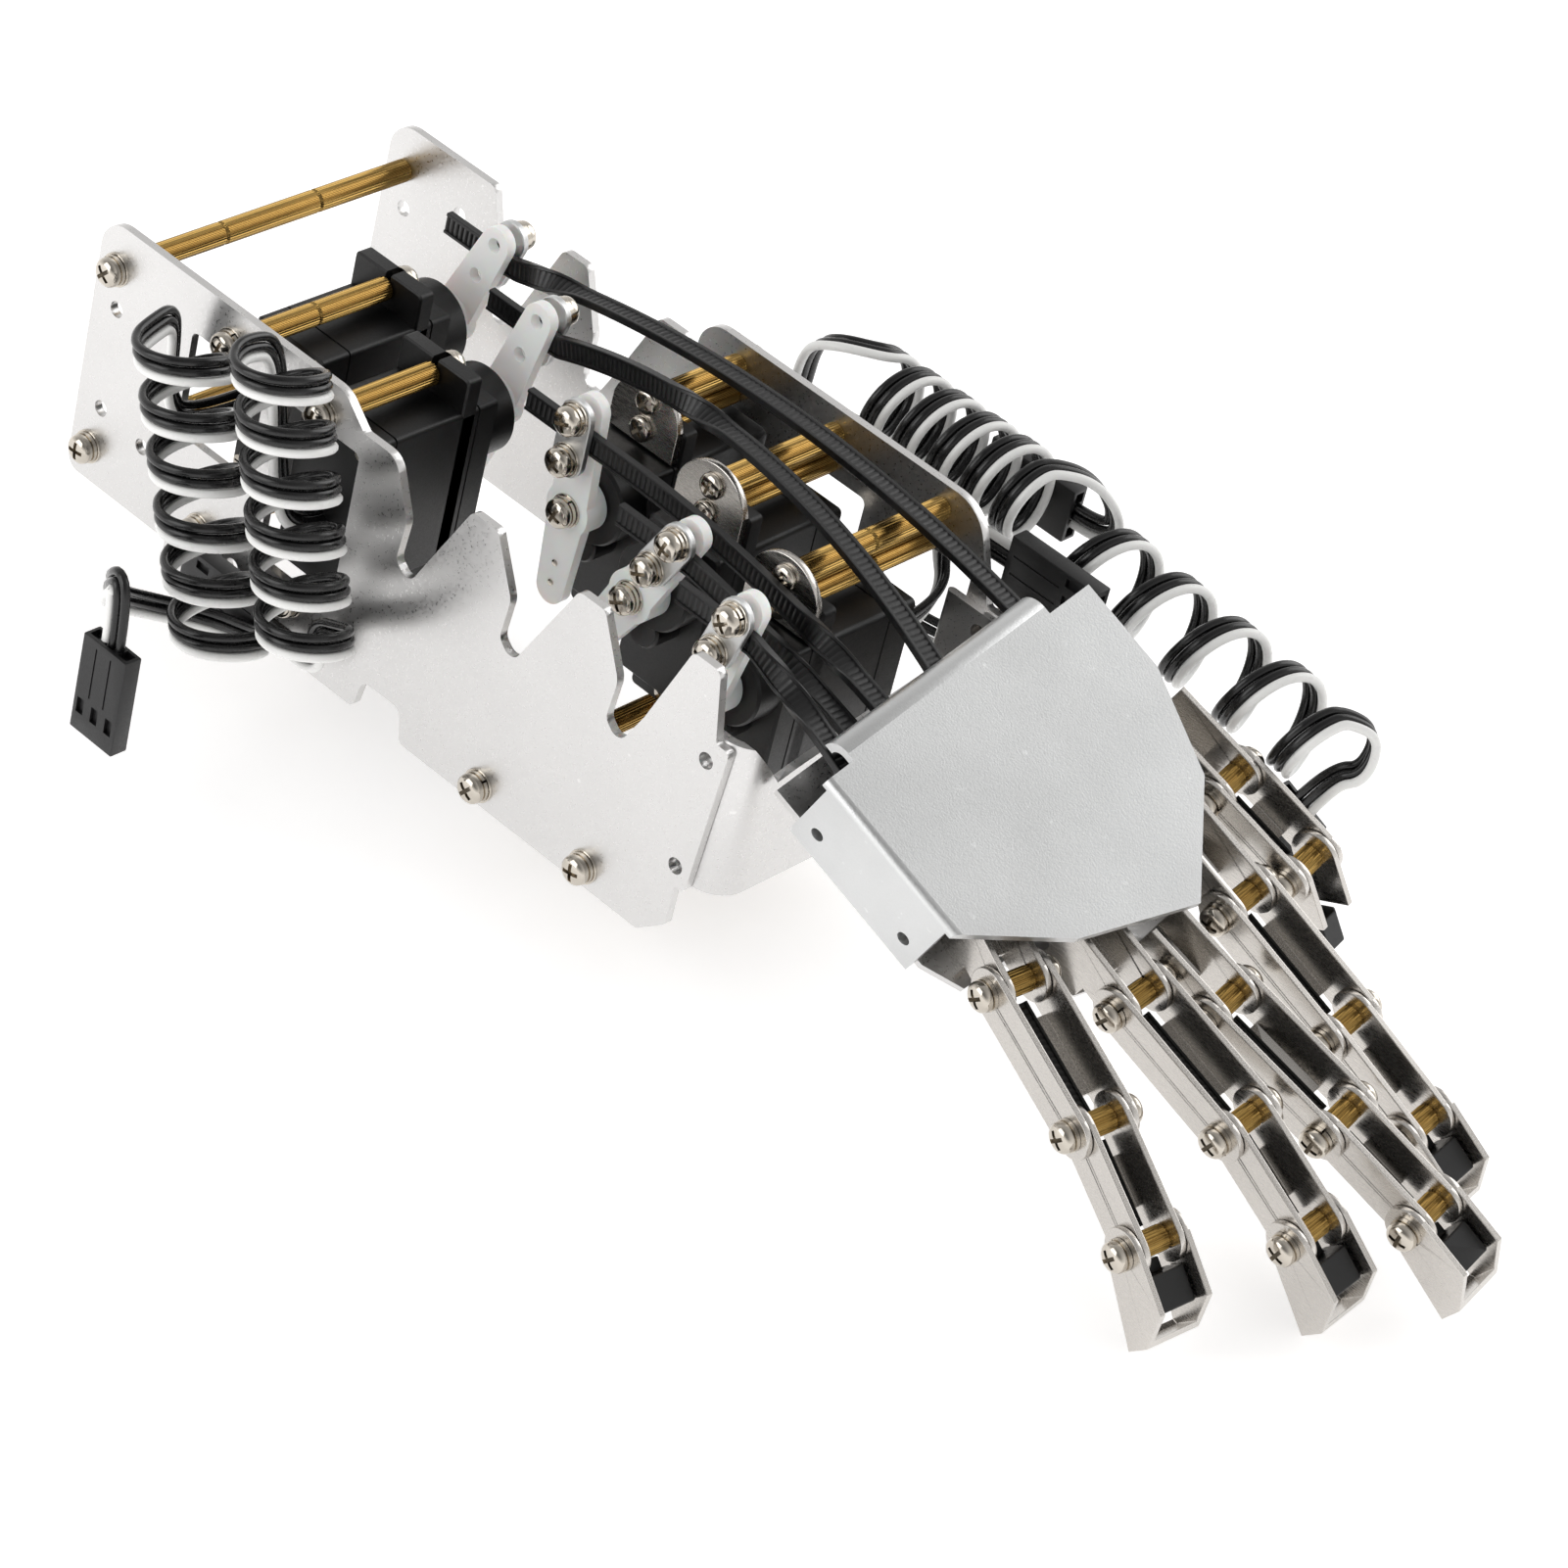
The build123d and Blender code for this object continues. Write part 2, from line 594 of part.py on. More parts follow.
for number, (u, v, fan, first, second) in enumerate(fingers, 1):
    root = palm.location * Location((u, v, -pivot_depth), (0, 0, fan))
    with BuildPart() as foot:
        with Locations((-web_start - 3.6, 0, -link_radius + 0.05)):
            Box(6.4, narrow_width, foot_drop + 0.05, align=(Align.CENTER, Align.CENTER, Align.MAX))
    knuckles.append((knuckle + foot.part).moved(root))
    knuckle_pins.append(pin.moved(root))
    first_link = root * Location((0, 0, 0), (0, first, 0))
    second_link = bent(first_link, proximal_length, second)
    third_link = bent(second_link, middle_length, tip_bend)
    save(proximal.moved(first_link), f"finger_{number}_proximal")
    save(middle.moved(second_link), f"finger_{number}_middle")
    save(fingertip(tip_length).moved(third_link), f"finger_{number}_tip")
    save(strap_head(tip_head_width, 3.6).moved(third_link), f"strap_head_{number}")
    pins = Compound([pin.moved(second_link), pin.moved(third_link)])
    save(pins, f"finger_{number}_pins")

u, v, fan, first = thumb
thumb_root = palm.location * Location((u, v, -pivot_depth), (0, 0, fan))
with BuildPart() as thumb_foot:
    with Locations((-web_start - 3.6, 0, -link_radius + 0.05)):
        Box(6.4, narrow_width, foot_drop + 0.05, align=(Align.CENTER, Align.CENTER, Align.MAX))
knuckles.append((knuckle + thumb_foot.part).moved(thumb_root))
knuckle_pins.append(pin.moved(thumb_root))
thumb_first = thumb_root * Location((0, 0, 0), (0, first, 0))
thumb_second = bent(thumb_first, thumb_length, thumb_tip_bend)
thumb_link = channel(thumb_length, wide_width, 0, 0, web_start, thumb_length - web_start)
save(thumb_link.moved(thumb_first), "thumb_proximal")
thumb_end = channel(0, narrow_width, 0, 7.0, web_start, 7.0)
save(thumb_end.moved(thumb_second), "thumb_tip")
save(pin.moved(thumb_second), "thumb_pin")
save(strap_head(narrow_width - 2 * link_wall - 0.5, 7.3).moved(thumb_second), "strap_head_5")

save(Compound(knuckles), "knuckle_brackets")
save(Compound(knuckle_pins), "knuckle_pins")

# Servo leads: three wires each, partly wound into coils, with a flat plug

# Lead rows, in the order of the servos: points from the servo's back to the coil, points from
# the coil to the plug, and the two ends of the coil's axis. Lead 5 has no coil.
leads = [
    ([(-85.2, back_y(25.0, -1), 21.5), (-85.2, -35.5, 21.5), (-81.0, -35.5, 40.4)],
     [(-61.8, -57.1, 14.2), (-61.8, -57.1, 30.0), (-74.2, -38.6, 29.5)],
     [(-79.6, -35.5, 40.8), (-64.2, -35.5, 2.8)]),
    ([(-62.6, back_y(17.0, -1), 20.0), (-62.6, -37.0, 20.0), (-61.2, -38.8, 40.0)],
     [(-65.0, -28.0, 4.2), (-46.0, -28.0, 4.2), (-50.4, -31.4, 15.0)],
     [(-63.6, -35.5, 48.5), (-50.6, -35.5, 12.5)]),
    ([(-41.5, back_y(13.0, 1), 22.0), (-41.5, 37.5, 22.0), (-38.5, 37.5, 41.0), (-24.0, 37.5, 43.4)],
     [(-0.9, 44.9, 35.0), (3.2, 44.9, 35.0), (3.2, 37.5, 34.6), (-6.0, 37.5, 34.6)],
     [(-29.5, 37.5, 39.0), (-1.5, 37.5, 39.0)]),
    ([(-24.5, back_y(19.0, 1), 15.0), (-24.5, 34.0, 15.0), (1.0, 34.0, 15.0), (7.0, 40.0, 39.1)],
     [(45.0, 40.0, 22.0), (48.5, 40.0, 31.4), (43.5, 40.0, 36.0)],
     [(5.0, 40.0, 34.9), (46.0, 40.0, 31.4)]),
    ([(-5.0, back_y(25.0, 1), 24.0), (-5.0, 30.0, 24.0), (-11.0, 30.0, 35.5), (1.5, 30.0, 35.5)], [], []),
]
# Plugs: middle of the end face where the wires go in, and the way the plug points from there.
plug_places = [
    ((-61.8, -57.1, 14.2), (0, 0, -1)),
    ((-65.0, -28.0, 4.2), (-1, 0, 0)),
    ((-0.9, 44.9, 35.0), (-1, 0, 0)),
    ((45.0, 40.0, 22.0), (-0.35, 0, -0.94)),
    ((1.5, 30.0, 35.5), (1, 0, 0)),
]


def bend_radii(points):
    """Radius of every corner of a route, so that its arcs use nine tenths of the runs."""
    radii = []
    for before, corner, after in zip(points, points[1:], points[2:]):
        first = Vector(corner) - Vector(before)
        second = Vector(after) - Vector(corner)
        turn = radians(first.get_angle(second))
        radii.append(0.45 * min(first.length, second.length) / tan(turn / 2))
    return radii


for number, (from_servo, to_plug, coil) in enumerate(leads, 1):
    with BuildPart() as lead:
        for points in (from_servo, to_plug):
            if points:
                with BuildLine() as route:
                    FilletPolyline(*points, radius=bend_radii(points))
                with BuildSketch(Plane(origin=route.line @ 0, z_dir=route.line % 0)):
                    Circle(lead_diameter / 2)
                sweep(path=route.line)
                radii = [round(r, 1) for r in bend_radii(points)]
                print("lead", number, "run", round(route.wire().length, 1), "bend radii", radii)
        if coil:
            top, bottom = coil
            axis = Vector(bottom) - Vector(top)
            with BuildSketch(Plane(origin=top, z_dir=axis)):
                Circle(coil_diameter / 2)
                Circle(coil_bore / 2, mode=Mode.SUBTRACT)
            extrude(amount=axis.length)
    save(lead.part, f"lead_{number}")

with BuildPart() as lead_plugs:
    for end, direction in plug_places:
        with BuildSketch(Plane(origin=end, x_dir=(0, 1, 0), z_dir=direction)):
            RectangleRounded(plug_thickness, plug_width, 0.4)
        extrude(amount=plug_length)
save(lead_plugs.part, "lead_plugs")
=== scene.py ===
import json
from math import cos, pi, radians, sin

import bmesh
import bpy
from mathutils import Matrix, Quaternion, Vector


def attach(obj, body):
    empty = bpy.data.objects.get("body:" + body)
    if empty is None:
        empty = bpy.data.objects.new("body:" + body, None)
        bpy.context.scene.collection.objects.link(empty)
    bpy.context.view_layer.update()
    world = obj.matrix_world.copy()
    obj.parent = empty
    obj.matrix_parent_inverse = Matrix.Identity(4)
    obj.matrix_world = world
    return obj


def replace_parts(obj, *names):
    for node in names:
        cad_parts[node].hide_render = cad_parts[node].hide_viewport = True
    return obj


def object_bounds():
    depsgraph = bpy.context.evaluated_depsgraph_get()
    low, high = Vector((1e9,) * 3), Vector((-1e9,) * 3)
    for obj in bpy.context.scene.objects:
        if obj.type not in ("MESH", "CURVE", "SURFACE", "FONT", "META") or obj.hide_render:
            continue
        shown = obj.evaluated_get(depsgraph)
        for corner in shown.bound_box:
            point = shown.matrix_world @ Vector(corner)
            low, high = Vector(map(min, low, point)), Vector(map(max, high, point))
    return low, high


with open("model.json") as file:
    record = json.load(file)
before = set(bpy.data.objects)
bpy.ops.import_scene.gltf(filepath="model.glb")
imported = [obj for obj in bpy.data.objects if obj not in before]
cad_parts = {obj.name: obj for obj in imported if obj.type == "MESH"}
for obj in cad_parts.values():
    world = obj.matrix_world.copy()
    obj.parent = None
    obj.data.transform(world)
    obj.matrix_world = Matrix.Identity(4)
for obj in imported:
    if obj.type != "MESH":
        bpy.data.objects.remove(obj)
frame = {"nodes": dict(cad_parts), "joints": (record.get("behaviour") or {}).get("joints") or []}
cad_low, cad_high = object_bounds()

# Camera
# The view from in front, above and to the near side, turned so that the arm runs from the
# upper left to the lower right.

camera_place = (0.3986, -0.4365, 0.3818)
picture_right = Vector((0.7116, 0.6716, 0.2063))
picture_down = Vector((0.5329, -0.3246, -0.7814))
picture_width_px, focal_length_px = 1601, 5500
sensor_width = 36.0

camera = bpy.data.objects.new("camera", bpy.data.cameras.new("camera"))
bpy.context.collection.objects.link(camera)
forward = picture_right.cross(picture_down).normalized()
picture_down = forward.cross(picture_right).normalized()
turn = Matrix((picture_right, -picture_down, -forward)).transposed().to_4x4()
camera.matrix_world = Matrix.Translation(camera_place) @ turn
camera.data.sensor_width = sensor_width
camera.data.lens = sensor_width * focal_length_px / picture_width_px
camera.data.clip_start = 0.01
bpy.context.scene.camera = camera

# Light and floor
# A white board under a soft sky: white at the horizon, grey overhead and darker in front, so
# that the metal shows tone. Two large lamps stand behind the hand and in front of it.

mm = 0.001
sky_overhead, sky_in_front = 0.48, 0.3
sky_tint = "fffefd"
lamp_target = Vector((0.08, 0.0, 0.0))
# Place, side of the square and power of each lamp.
lamps = {"rear_lamp": ((0.35, 0.95, 0.6), 0.9, 4.5), "front_lamp": ((-0.3, -0.9, 0.45), 0.8, 4.5)}
floor_half_width, floor_drop = 3.0, 0.2 * mm


def linear(hex_colour):
    """Linear RGBA of an sRGB colour such as "8a8d90"."""
    channels = [int(hex_colour[i:i + 2], 16) / 255 for i in (0, 2, 4)]
    return [c / 12.92 if c <= 0.04045 else ((c + 0.055) / 1.055) ** 2.4 for c in channels] + [1.0]


def add_node(tree, kind, links=None, **settings):
    """Adds a shader node, sets its properties and sockets, and links its inputs."""
    node = tree.nodes.new(kind)
    for name, value in settings.items():
        if hasattr(node, name):
            setattr(node, name, value)
        else:
            node.inputs[name.replace("_", " ")].default_value = value
    for socket, source in (links or {}).items():
        tree.links.new(source, node.inputs[socket])
    return node


scene = bpy.context.scene
scene.view_settings.view_transform = "Standard"
world = bpy.data.worlds.new("white_room")
world.use_nodes = True
scene.world = world
sky = world.node_tree
generated = add_node(sky, "ShaderNodeTexCoord").outputs["Generated"]
direction = add_node(sky, "ShaderNodeSeparateXYZ", {"Vector": generated}).outputs
height = add_node(sky, "ShaderNodeMapRange", {"Value": direction["Z"]},
                  From_Min=0.1, From_Max=0.95, To_Min=1.0, To_Max=sky_overhead).outputs["Result"]
front = add_node(sky, "ShaderNodeMapRange", {"Value": direction["Y"]},
                 From_Min=-0.75, From_Max=0.0, To_Min=sky_in_front, To_Max=1.0).outputs["Result"]
above = add_node(sky, "ShaderNodeMapRange", {"Value": direction["Z"]},
                 From_Min=0.08, From_Max=0.4).outputs["Result"]
shaded = add_node(sky, "ShaderNodeMix", {"Factor": above, "B": front}, A=1.0).outputs["Result"]
strength = add_node(sky, "ShaderNodeMath", {0: height, 1: shaded}, operation="MULTIPLY").outputs["Value"]
camera_ray = add_node(sky, "ShaderNodeLightPath").outputs["Is Camera Ray"]
seen = add_node(sky, "ShaderNodeMix", {"Factor": camera_ray, "A": strength}, B=1.0).outputs["Result"]
background = sky.nodes["Background"].inputs
sky.links.new(seen, background["Strength"])
background["Color"].default_value = linear(sky_tint)

for name, (place, size, power) in lamps.items():
    lamp = bpy.data.objects.new(name, bpy.data.lights.new(name, "AREA"))
    lamp.data.shape = "SQUARE"
    lamp.data.size = size
    lamp.data.energy = power
    lamp.location = place
    lamp.rotation_euler = (lamp_target - Vector(place)).to_track_quat("-Z", "Y").to_euler()
    bpy.context.collection.objects.link(lamp)


def surface(name, colour, roughness, metallic=0.0, grain_mm=1.11, squeeze=(1, 1, 1), uneven=0.08,
            relief_mm=0.0, patches=0.0, nicks=0.0, **shader):
    """Principled surface with a fine grain in its roughness and relief, and soft patches of tone.

    The grain is grain_mm wide, narrower along an axis by its squeeze, and relief_mm high. It
    moves the roughness by uneven. patches is how much darker the patches are, nicks the share
    of small bright handling marks."""
    patch_mm, nick_mm, nick_gain = 14.3, 1.333, 1.15
    material = bpy.data.materials.new(name)
    material.use_nodes = True
    tree = material.node_tree
    principled = tree.nodes["Principled BSDF"].inputs
    principled["Metallic"].default_value = metallic
    for socket, value in shader.items():
        principled[socket.replace("_", " ")].default_value = value
    place = add_node(tree, "ShaderNodeTexCoord").outputs["Object"]
    squeezed = add_node(tree, "ShaderNodeMapping", {"Vector": place}, Scale=squeeze).outputs["Vector"]
    grain = add_node(tree, "ShaderNodeTexNoise", {"Vector": squeezed},
                     Scale=1 / (grain_mm * mm), Detail=4.0).outputs["Fac"]
    gloss = add_node(tree, "ShaderNodeMapRange", {"Value": grain}, From_Min=0.3, From_Max=0.7,
                     To_Min=max(roughness - uneven, 0.03), To_Max=roughness + uneven).outputs["Result"]
    tree.links.new(gloss, principled["Roughness"])
    broad = add_node(tree, "ShaderNodeTexNoise", {"Vector": place},
                     Scale=1 / (patch_mm * mm), Detail=3.0).outputs["Fac"]
    tone = add_node(tree, "ShaderNodeMapRange", {"Value": broad}, From_Min=0.35, From_Max=0.65,
                    To_Min=1.0 - patches, To_Max=1.0).outputs["Result"]
    if nicks:
        marks = add_node(tree, "ShaderNodeTexNoise", {"Vector": place},
                         Scale=1 / (nick_mm * mm), Detail=2.0).outputs["Fac"]
        bright = add_node(tree, "ShaderNodeMapRange", {"Value": marks}, From_Min=0.73 - nicks,
                          From_Max=0.79 - nicks, To_Min=1.0, To_Max=nick_gain).outputs["Result"]
        tone = add_node(tree, "ShaderNodeMath", {0: tone, 1: bright}, operation="MULTIPLY").outputs["Value"]
    shade = add_node(tree, "ShaderNodeHueSaturation", {"Value": tone}, Color=linear(colour))
    tree.links.new(shade.outputs["Color"], principled["Base Color"])
    if relief_mm:
        bump = add_node(tree, "ShaderNodeBump", {"Height": grain}, Distance=relief_mm * mm, Strength=1.0)
        tree.links.new(bump.outputs["Normal"], principled["Normal"])
    return material


# Painted board: matt white, lit a little from itself so that it meets the sky without a line.
white_board = surface("white_board", "fbfbfb", 0.9,
                      Emission_Color=linear("fffefe"), Emission_Strength=0.5)
floor_mesh = bpy.data.meshes.new("floor")
floor_corners = [Vector((x, y, 0)) * floor_half_width for x, y in ((-1, -1), (1, -1), (1, 1), (-1, 1))]
floor_mesh.from_pydata(floor_corners, [], [(0, 1, 2, 3)])
floor_mesh.materials.append(white_board)
floor = bpy.data.objects.new("floor", floor_mesh)
floor.location.z = cad_low[2] - floor_drop
bpy.context.collection.objects.link(floor)

# Side plates
# Two plates of 1.2 mm aluminium sheet, each blanked in one piece and tumbled, so that all its
# edges are slightly round. Four crossbars hold them apart.

# Tumbled sheet: dull bright, with faint patches and a few handling marks. The grain is drawn
# coarser than it is, so that it shows.
sheet_aluminium = surface("sheet_aluminium", "dbdad9", 0.33, 1.0, grain_mm=0.385, relief_mm=0.003,
                          patches=0.03, nicks=0.01)
plate_inner, plate_thickness = 24.3, 1.2
plate_outer = plate_inner + plate_thickness
weld_distance, sharp_edge_angle = 0.002 * mm, 40


def dress(node, material, edge_mm=0.12):
    """Gives a CAD solid its finish, with its sharp edges slightly rounded."""
    piece = frame["nodes"][node]
    piece.data.materials.clear()
    piece.data.materials.append(material)
    weld = piece.modifiers.new("weld", "WELD")
    weld.merge_threshold = weld_distance
    bevel = piece.modifiers.new("edges", "BEVEL")
    bevel.width = edge_mm * mm
    bevel.segments = 2
    bevel.limit_method = "ANGLE"
    bevel.angle_limit = radians(sharp_edge_angle)


for node in ("near_side_plate", "far_side_plate"):
    dress(node, sheet_aluminium)

# Pan head screws
# M2 screws of nickel plated steel with a cross recess. The outer ones stand on a flat washer
# and a split spring washer, those in tight places on the spring washer alone or on none.

# Nickel plate: a warm, nearly clear mirror.
nickel_steel = surface("nickel_plated_steel", "cbc4b9", 0.16, 1.0, grain_mm=0.833, uneven=0.04,
                       relief_mm=0.001, patches=0.06)


def smooth_by_angle(mesh, angle=35.0):
    mesh.shade_smooth()
    mesh.set_sharp_from_angle(angle=radians(angle))


def mesh_of(name, points, faces, sharp_angle=35.0):
    """Mesh of points in mm, smooth up to the given angle between faces."""
    mesh = bpy.data.meshes.new(name)
    mesh.from_pydata([(x * mm, y * mm, z * mm) for x, y, z in points], [], faces)
    mesh.validate()
    smooth_by_angle(mesh, sharp_angle)
    return mesh


def lofted(name, rings, sharp_angle=35.0):
    """Closed mesh through rings of equally many points, in mm."""
    count = len(rings[0])
    points = [p for ring in rings for p in ring]
    faces = [tuple(range(count - 1, -1, -1)), tuple(range(len(points) - count, len(points)))]
    for start in range(0, len(points) - count, count):
        for k in range(count):
            a, b = start + k, start + (k + 1) % count
            faces.append((a, b, b + count, a + count))
    return mesh_of(name, points, faces, sharp_angle)


def circle(radius, z, count):
    return [(radius * cos(2 * pi * k / count), radius * sin(2 * pi * k / count), z) for k in range(count)]


def revolved(name, profile, segments=32):
    """Solid of revolution about Z from (radius, height) pairs in mm."""
    return lofted(name, [circle(radius, z, segments) for radius, z in profile])


def block(name, low, high, bevel=0.0):
    """Box between two corners, in mm, with rounded edges."""
    low, high = (Vector([c * mm for c in corner]) for corner in (low, high))
    made = bmesh.new()
    bmesh.ops.create_cube(made, size=1.0)
    bmesh.ops.scale(made, vec=high - low, verts=made.verts)
    bmesh.ops.translate(made, vec=(low + high) / 2, verts=made.verts)
    if bevel:
        bmesh.ops.bevel(made, geom=made.edges[:], offset=bevel * mm, segments=2, affect="EDGES", profile=0.5)
    mesh = bpy.data.meshes.new(name)
    made.to_mesh(mesh)
    made.free()
    smooth_by_angle(mesh)
    return mesh


def cut_by(mesh, cutter):
    """mesh with the cutter's shape taken out of it."""
    body = bpy.data.objects.new("body", mesh)
    tool = bpy.data.objects.new("tool", cutter)
    for piece in (body, tool):
        bpy.context.collection.objects.link(piece)
    boolean = body.modifiers.new("cut", "BOOLEAN")
    boolean.operation = "DIFFERENCE"
    boolean.solver = "EXACT"
    boolean.object = tool
    bpy.context.view_layer.update()
    result = bpy.data.meshes.new_from_object(body.evaluated_get(bpy.context.evaluated_depsgraph_get()))
    for piece in (body, tool):
        bpy.data.objects.remove(piece)
    return result


def joined(name, parts):
    """One mesh from (mesh, offset in mm) pairs."""
    made = bmesh.new()
    for mesh, offset in parts:
        part = mesh.copy()
        part.transform(Matrix.Translation(Vector(offset) * mm))
        made.from_mesh(part)
        bpy.data.meshes.remove(part)
    result = bpy.data.meshes.new(name)
    made.to_mesh(result)
    made.free()
    smooth_by_angle(result)
    return result


def split_ring(name, inner, outer, thickness, split, steps=28):
    """Flat ring about Z with a radial split, its ends sprung apart; sizes in mm, split in radians."""
    spring = 0.12 * thickness
    sections = []
    for k in range(steps + 1):
        a = split + (2 * pi - 2 * split) * k / steps
        lift = spring * (k / steps - 0.5)
        corners = ((inner, 0), (outer, 0), (outer, thickness), (inner, thickness))
        sections.append([(r * cos(a), r * sin(a), z + lift) for r, z in corners])
    return lofted(name, sections)


centred = (0, 0, 0)
head_profile = [(1.75, 0.0), (1.92, 0.15), (1.95, 0.6), (1.86, 0.95), (1.62, 1.22), (1.25, 1.42), (0.7, 1.54)]
flat_washer_profile = [(2.2, 0.0), (2.25, 0.05), (2.25, 0.3), (2.2, 0.35)]
shank_profile = [(0.92, -0.6), (0.92, 0.35)]
flush_head_scale = (0.9, 0.9, 0.66, 1)
recess_half_length, recess_half_width, recess_floor, over_head = 1.2, 0.26, 0.55, 2.0
over_flat_washer, over_spring_washer = 0.4, 0.52
# Each screw's recess is turned on by this angle, in radians, from the last one's.
recess_turn = 2.4

head = revolved("head", head_profile, 28)
for half_x, half_y in ((recess_half_length, recess_half_width), (recess_half_width, recess_half_length)):
    head = cut_by(head, block("slot", (-half_x, -half_y, recess_floor), (half_x, half_y, over_head)))
flush_head = head.copy()
flush_head.transform(Matrix.Diagonal(flush_head_scale))
spring_washer = split_ring("spring_washer", 1.0, 2.05, 0.5, 0.07)
flat_washer = revolved("flat_washer", flat_washer_profile, 28)
shank = revolved("shank", shank_profile, 20)
screw_meshes = {
    "tall": joined("tall_screw", [
        (spring_washer, (0, 0, over_flat_washer)), (shank, centred),
        (head, (0, 0, over_flat_washer + over_spring_washer)), (flat_washer, centred)]),
    "low": joined("low_screw", [
        (spring_washer, centred), (shank, centred), (head, (0, 0, over_spring_washer))]),
    "flush": joined("flush_screw", [(flush_head, centred), (shank, centred)]),
}


def add_piece(name, mesh, material, body, place=Matrix.Identity(4)):
    """A piece made of mesh, put at place in the row frame and riding on body."""
    if not mesh.materials:
        mesh.materials.append(material)
    piece = bpy.data.objects.new(name, mesh)
    bpy.context.collection.objects.link(piece)
    piece.matrix_world = place
    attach(piece, body)
    return piece


screws = []


def screw(place, outward, body, kind="tall"):
    """A screw that stands on place, in metres, and points outward."""
    number = len(screws) + 1
    spin = Quaternion((0, 0, 1), number * recess_turn)
    matrix = Matrix.LocRotScale(Vector(place), Vector(outward).to_track_quat("Z", "Y") @ spin, None)
    screws.append(add_piece(f"screw_{number}", screw_meshes[kind], nickel_steel, body, matrix))


# Servo rows in mm: shaft x, gap between plate and ear, side of the plate.
servo_rows = {1: (20.1, 25.0, -1), 2: (37.1, 17.0, -1), 3: (59.1, 13.0, 1), 4: (76.1, 19.0, 1),
              5: (94.1, 25.0, 1)}
ear_thickness, ear_plate_thickness = 2.5, 1.0
upper_ear_z, lower_ear_z, spare_post_z, shaft_z = 21.8, -6.2, 25.8, 13.3
crossbars = [(-1.0, 20.4), (-1.0, -6.4), (72.6, -11.4), (90.9, -11.4)]
bracket_holes = [(104.0, -2.2), (104.6, 14.0)]
for side in (-1, 1):
    for x, z in crossbars + (bracket_holes if side > 0 else []):
        screw((x * mm, side * plate_outer * mm, z * mm), (0, side, 0), "frame")
for x, gap, side in servo_rows.values():
    for z in (upper_ear_z, lower_ear_z) + ((spare_post_z,) if side > 0 else ()):
        ear_front = side * (plate_inner - gap - ear_thickness)
        if side > 0 and z != lower_ear_z:
            ear_front -= ear_plate_thickness
        screw((x * mm, side * plate_outer * mm, z * mm), (0, side, 0), "frame")
        screw((x * mm, ear_front * mm, z * mm), (0, -side, 0), "frame", "low" if side < 0 else "flush")
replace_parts(screws[0], "frame_screws")

# Spacers
# Brass rods, 3 mm across, with straight ribs rolled into them and chamfered ends. They are
# screwed end to end: a crossbar is three of them, a long post behind a servo's ear is two.

# Turned brass: a deep yellow with sharp highlights along the ribs.
ribbed_brass = surface("turned_brass", "ad8d50", 0.24, 1.0, grain_mm=0.333, uneven=0.03, patches=0.08)
post_radius, end_gap, longest_single_post = 1.55, 0.01, 20.0
rib_depth, rod_chamfer = 0.11, 0.28


def ribbed_rod(name, radius, length, ribs=26):
    """Rod about Z from 0 to length with ribs along it and a chamfer at each end, sizes in mm."""
    count = 4 * ribs
    rings = []
    for z, drop in ((0, rod_chamfer), (rod_chamfer, 0), (length - rod_chamfer, 0), (length, rod_chamfer)):
        ring = []
        for k in range(count):
            r = radius - drop - (rib_depth if k % 4 in (2, 3) and drop == 0 else 0)
            ring.append((r * cos(2 * pi * k / count), r * sin(2 * pi * k / count), z))
        rings.append(ring)
    return lofted(name, rings, 20.0)


posts = []


def post(x, z, y_from, y_to, count=1):
    """Spacers end to end along Y, in mm."""
    low = min(y_from, y_to)
    length = abs(y_to - y_from) / count
    for k in range(count):
        mesh = ribbed_rod(f"spacer_{len(posts) + 1}", post_radius, length - 2 * end_gap)
        place = Matrix.Translation(Vector((x, low + k * length + end_gap, z)) * mm)
        place = place @ Matrix.Rotation(-pi / 2, 4, "X")
        posts.append(add_piece(mesh.name, mesh, ribbed_brass, "frame", place))


for x, z in crossbars:
    post(x, z, -plate_inner, plate_inner, 3)
for x, gap, side in servo_rows.values():
    plate, ear_back = side * plate_inner, side * (plate_inner - gap)
    count = 2 if gap > longest_single_post else 1
    post(x, upper_ear_z, plate, ear_back, count)
    post(x, lower_ear_z, plate, ear_back, count)
    if side > 0:
        post(x, spare_post_z, plate, ear_back - side * ear_thickness, count)
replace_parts(posts[0], "standoffs")

# Servos
# Micro servos in moulded black plastic: three case parts with seams between them, slotted
# ears, a round gear boss over the shaft, and four small screws in the back.

# Moulded ABS: black, half matt from the spark-eroded mould, drawn with a coarser grain than it has.
servo_abs = surface("moulded_abs_black", "0a0a0b", 0.42, grain_mm=0.2, relief_mm=0.012, patches=0.1)
# Sizes in mm, heights above the servo's back, places along the case from the shaft.
case_half_width, case_corner = 6.1, 0.7
case_ends, ear_ends = (-16.9, 5.9), (-21.65, 10.65)
case_height, lower_seam, upper_seam = 22.5, 4.6, 18.8
ear_back_height = 15.9
ear_front_height = ear_back_height + ear_thickness
case_edge, ear_edge = 0.35, 0.25
seam_depth, seam_width, seam_slope = 0.16, 0.3, 0.05
ear_holes, ear_hole_radius, ear_slit_half_width, ear_slit_length = (8.5, -19.5), 1.1, 0.5, 3.0
below_ears, above_ears = 15.0, 19.0
boss_profile = [(5.9, 22.3), (5.9, 26.35), (5.6, 26.7), (3.2, 26.7), (3.0, 26.9), (2.3, 26.9), (2.3, 28.7)]
gear_bump_profile, gear_bump_y = [(2.6, 22.3), (2.6, 26.3), (2.3, 26.65)], -6.4
back_screw_profile = [(0.9, -0.12), (0.98, 0.0), (0.98, 0.6)]
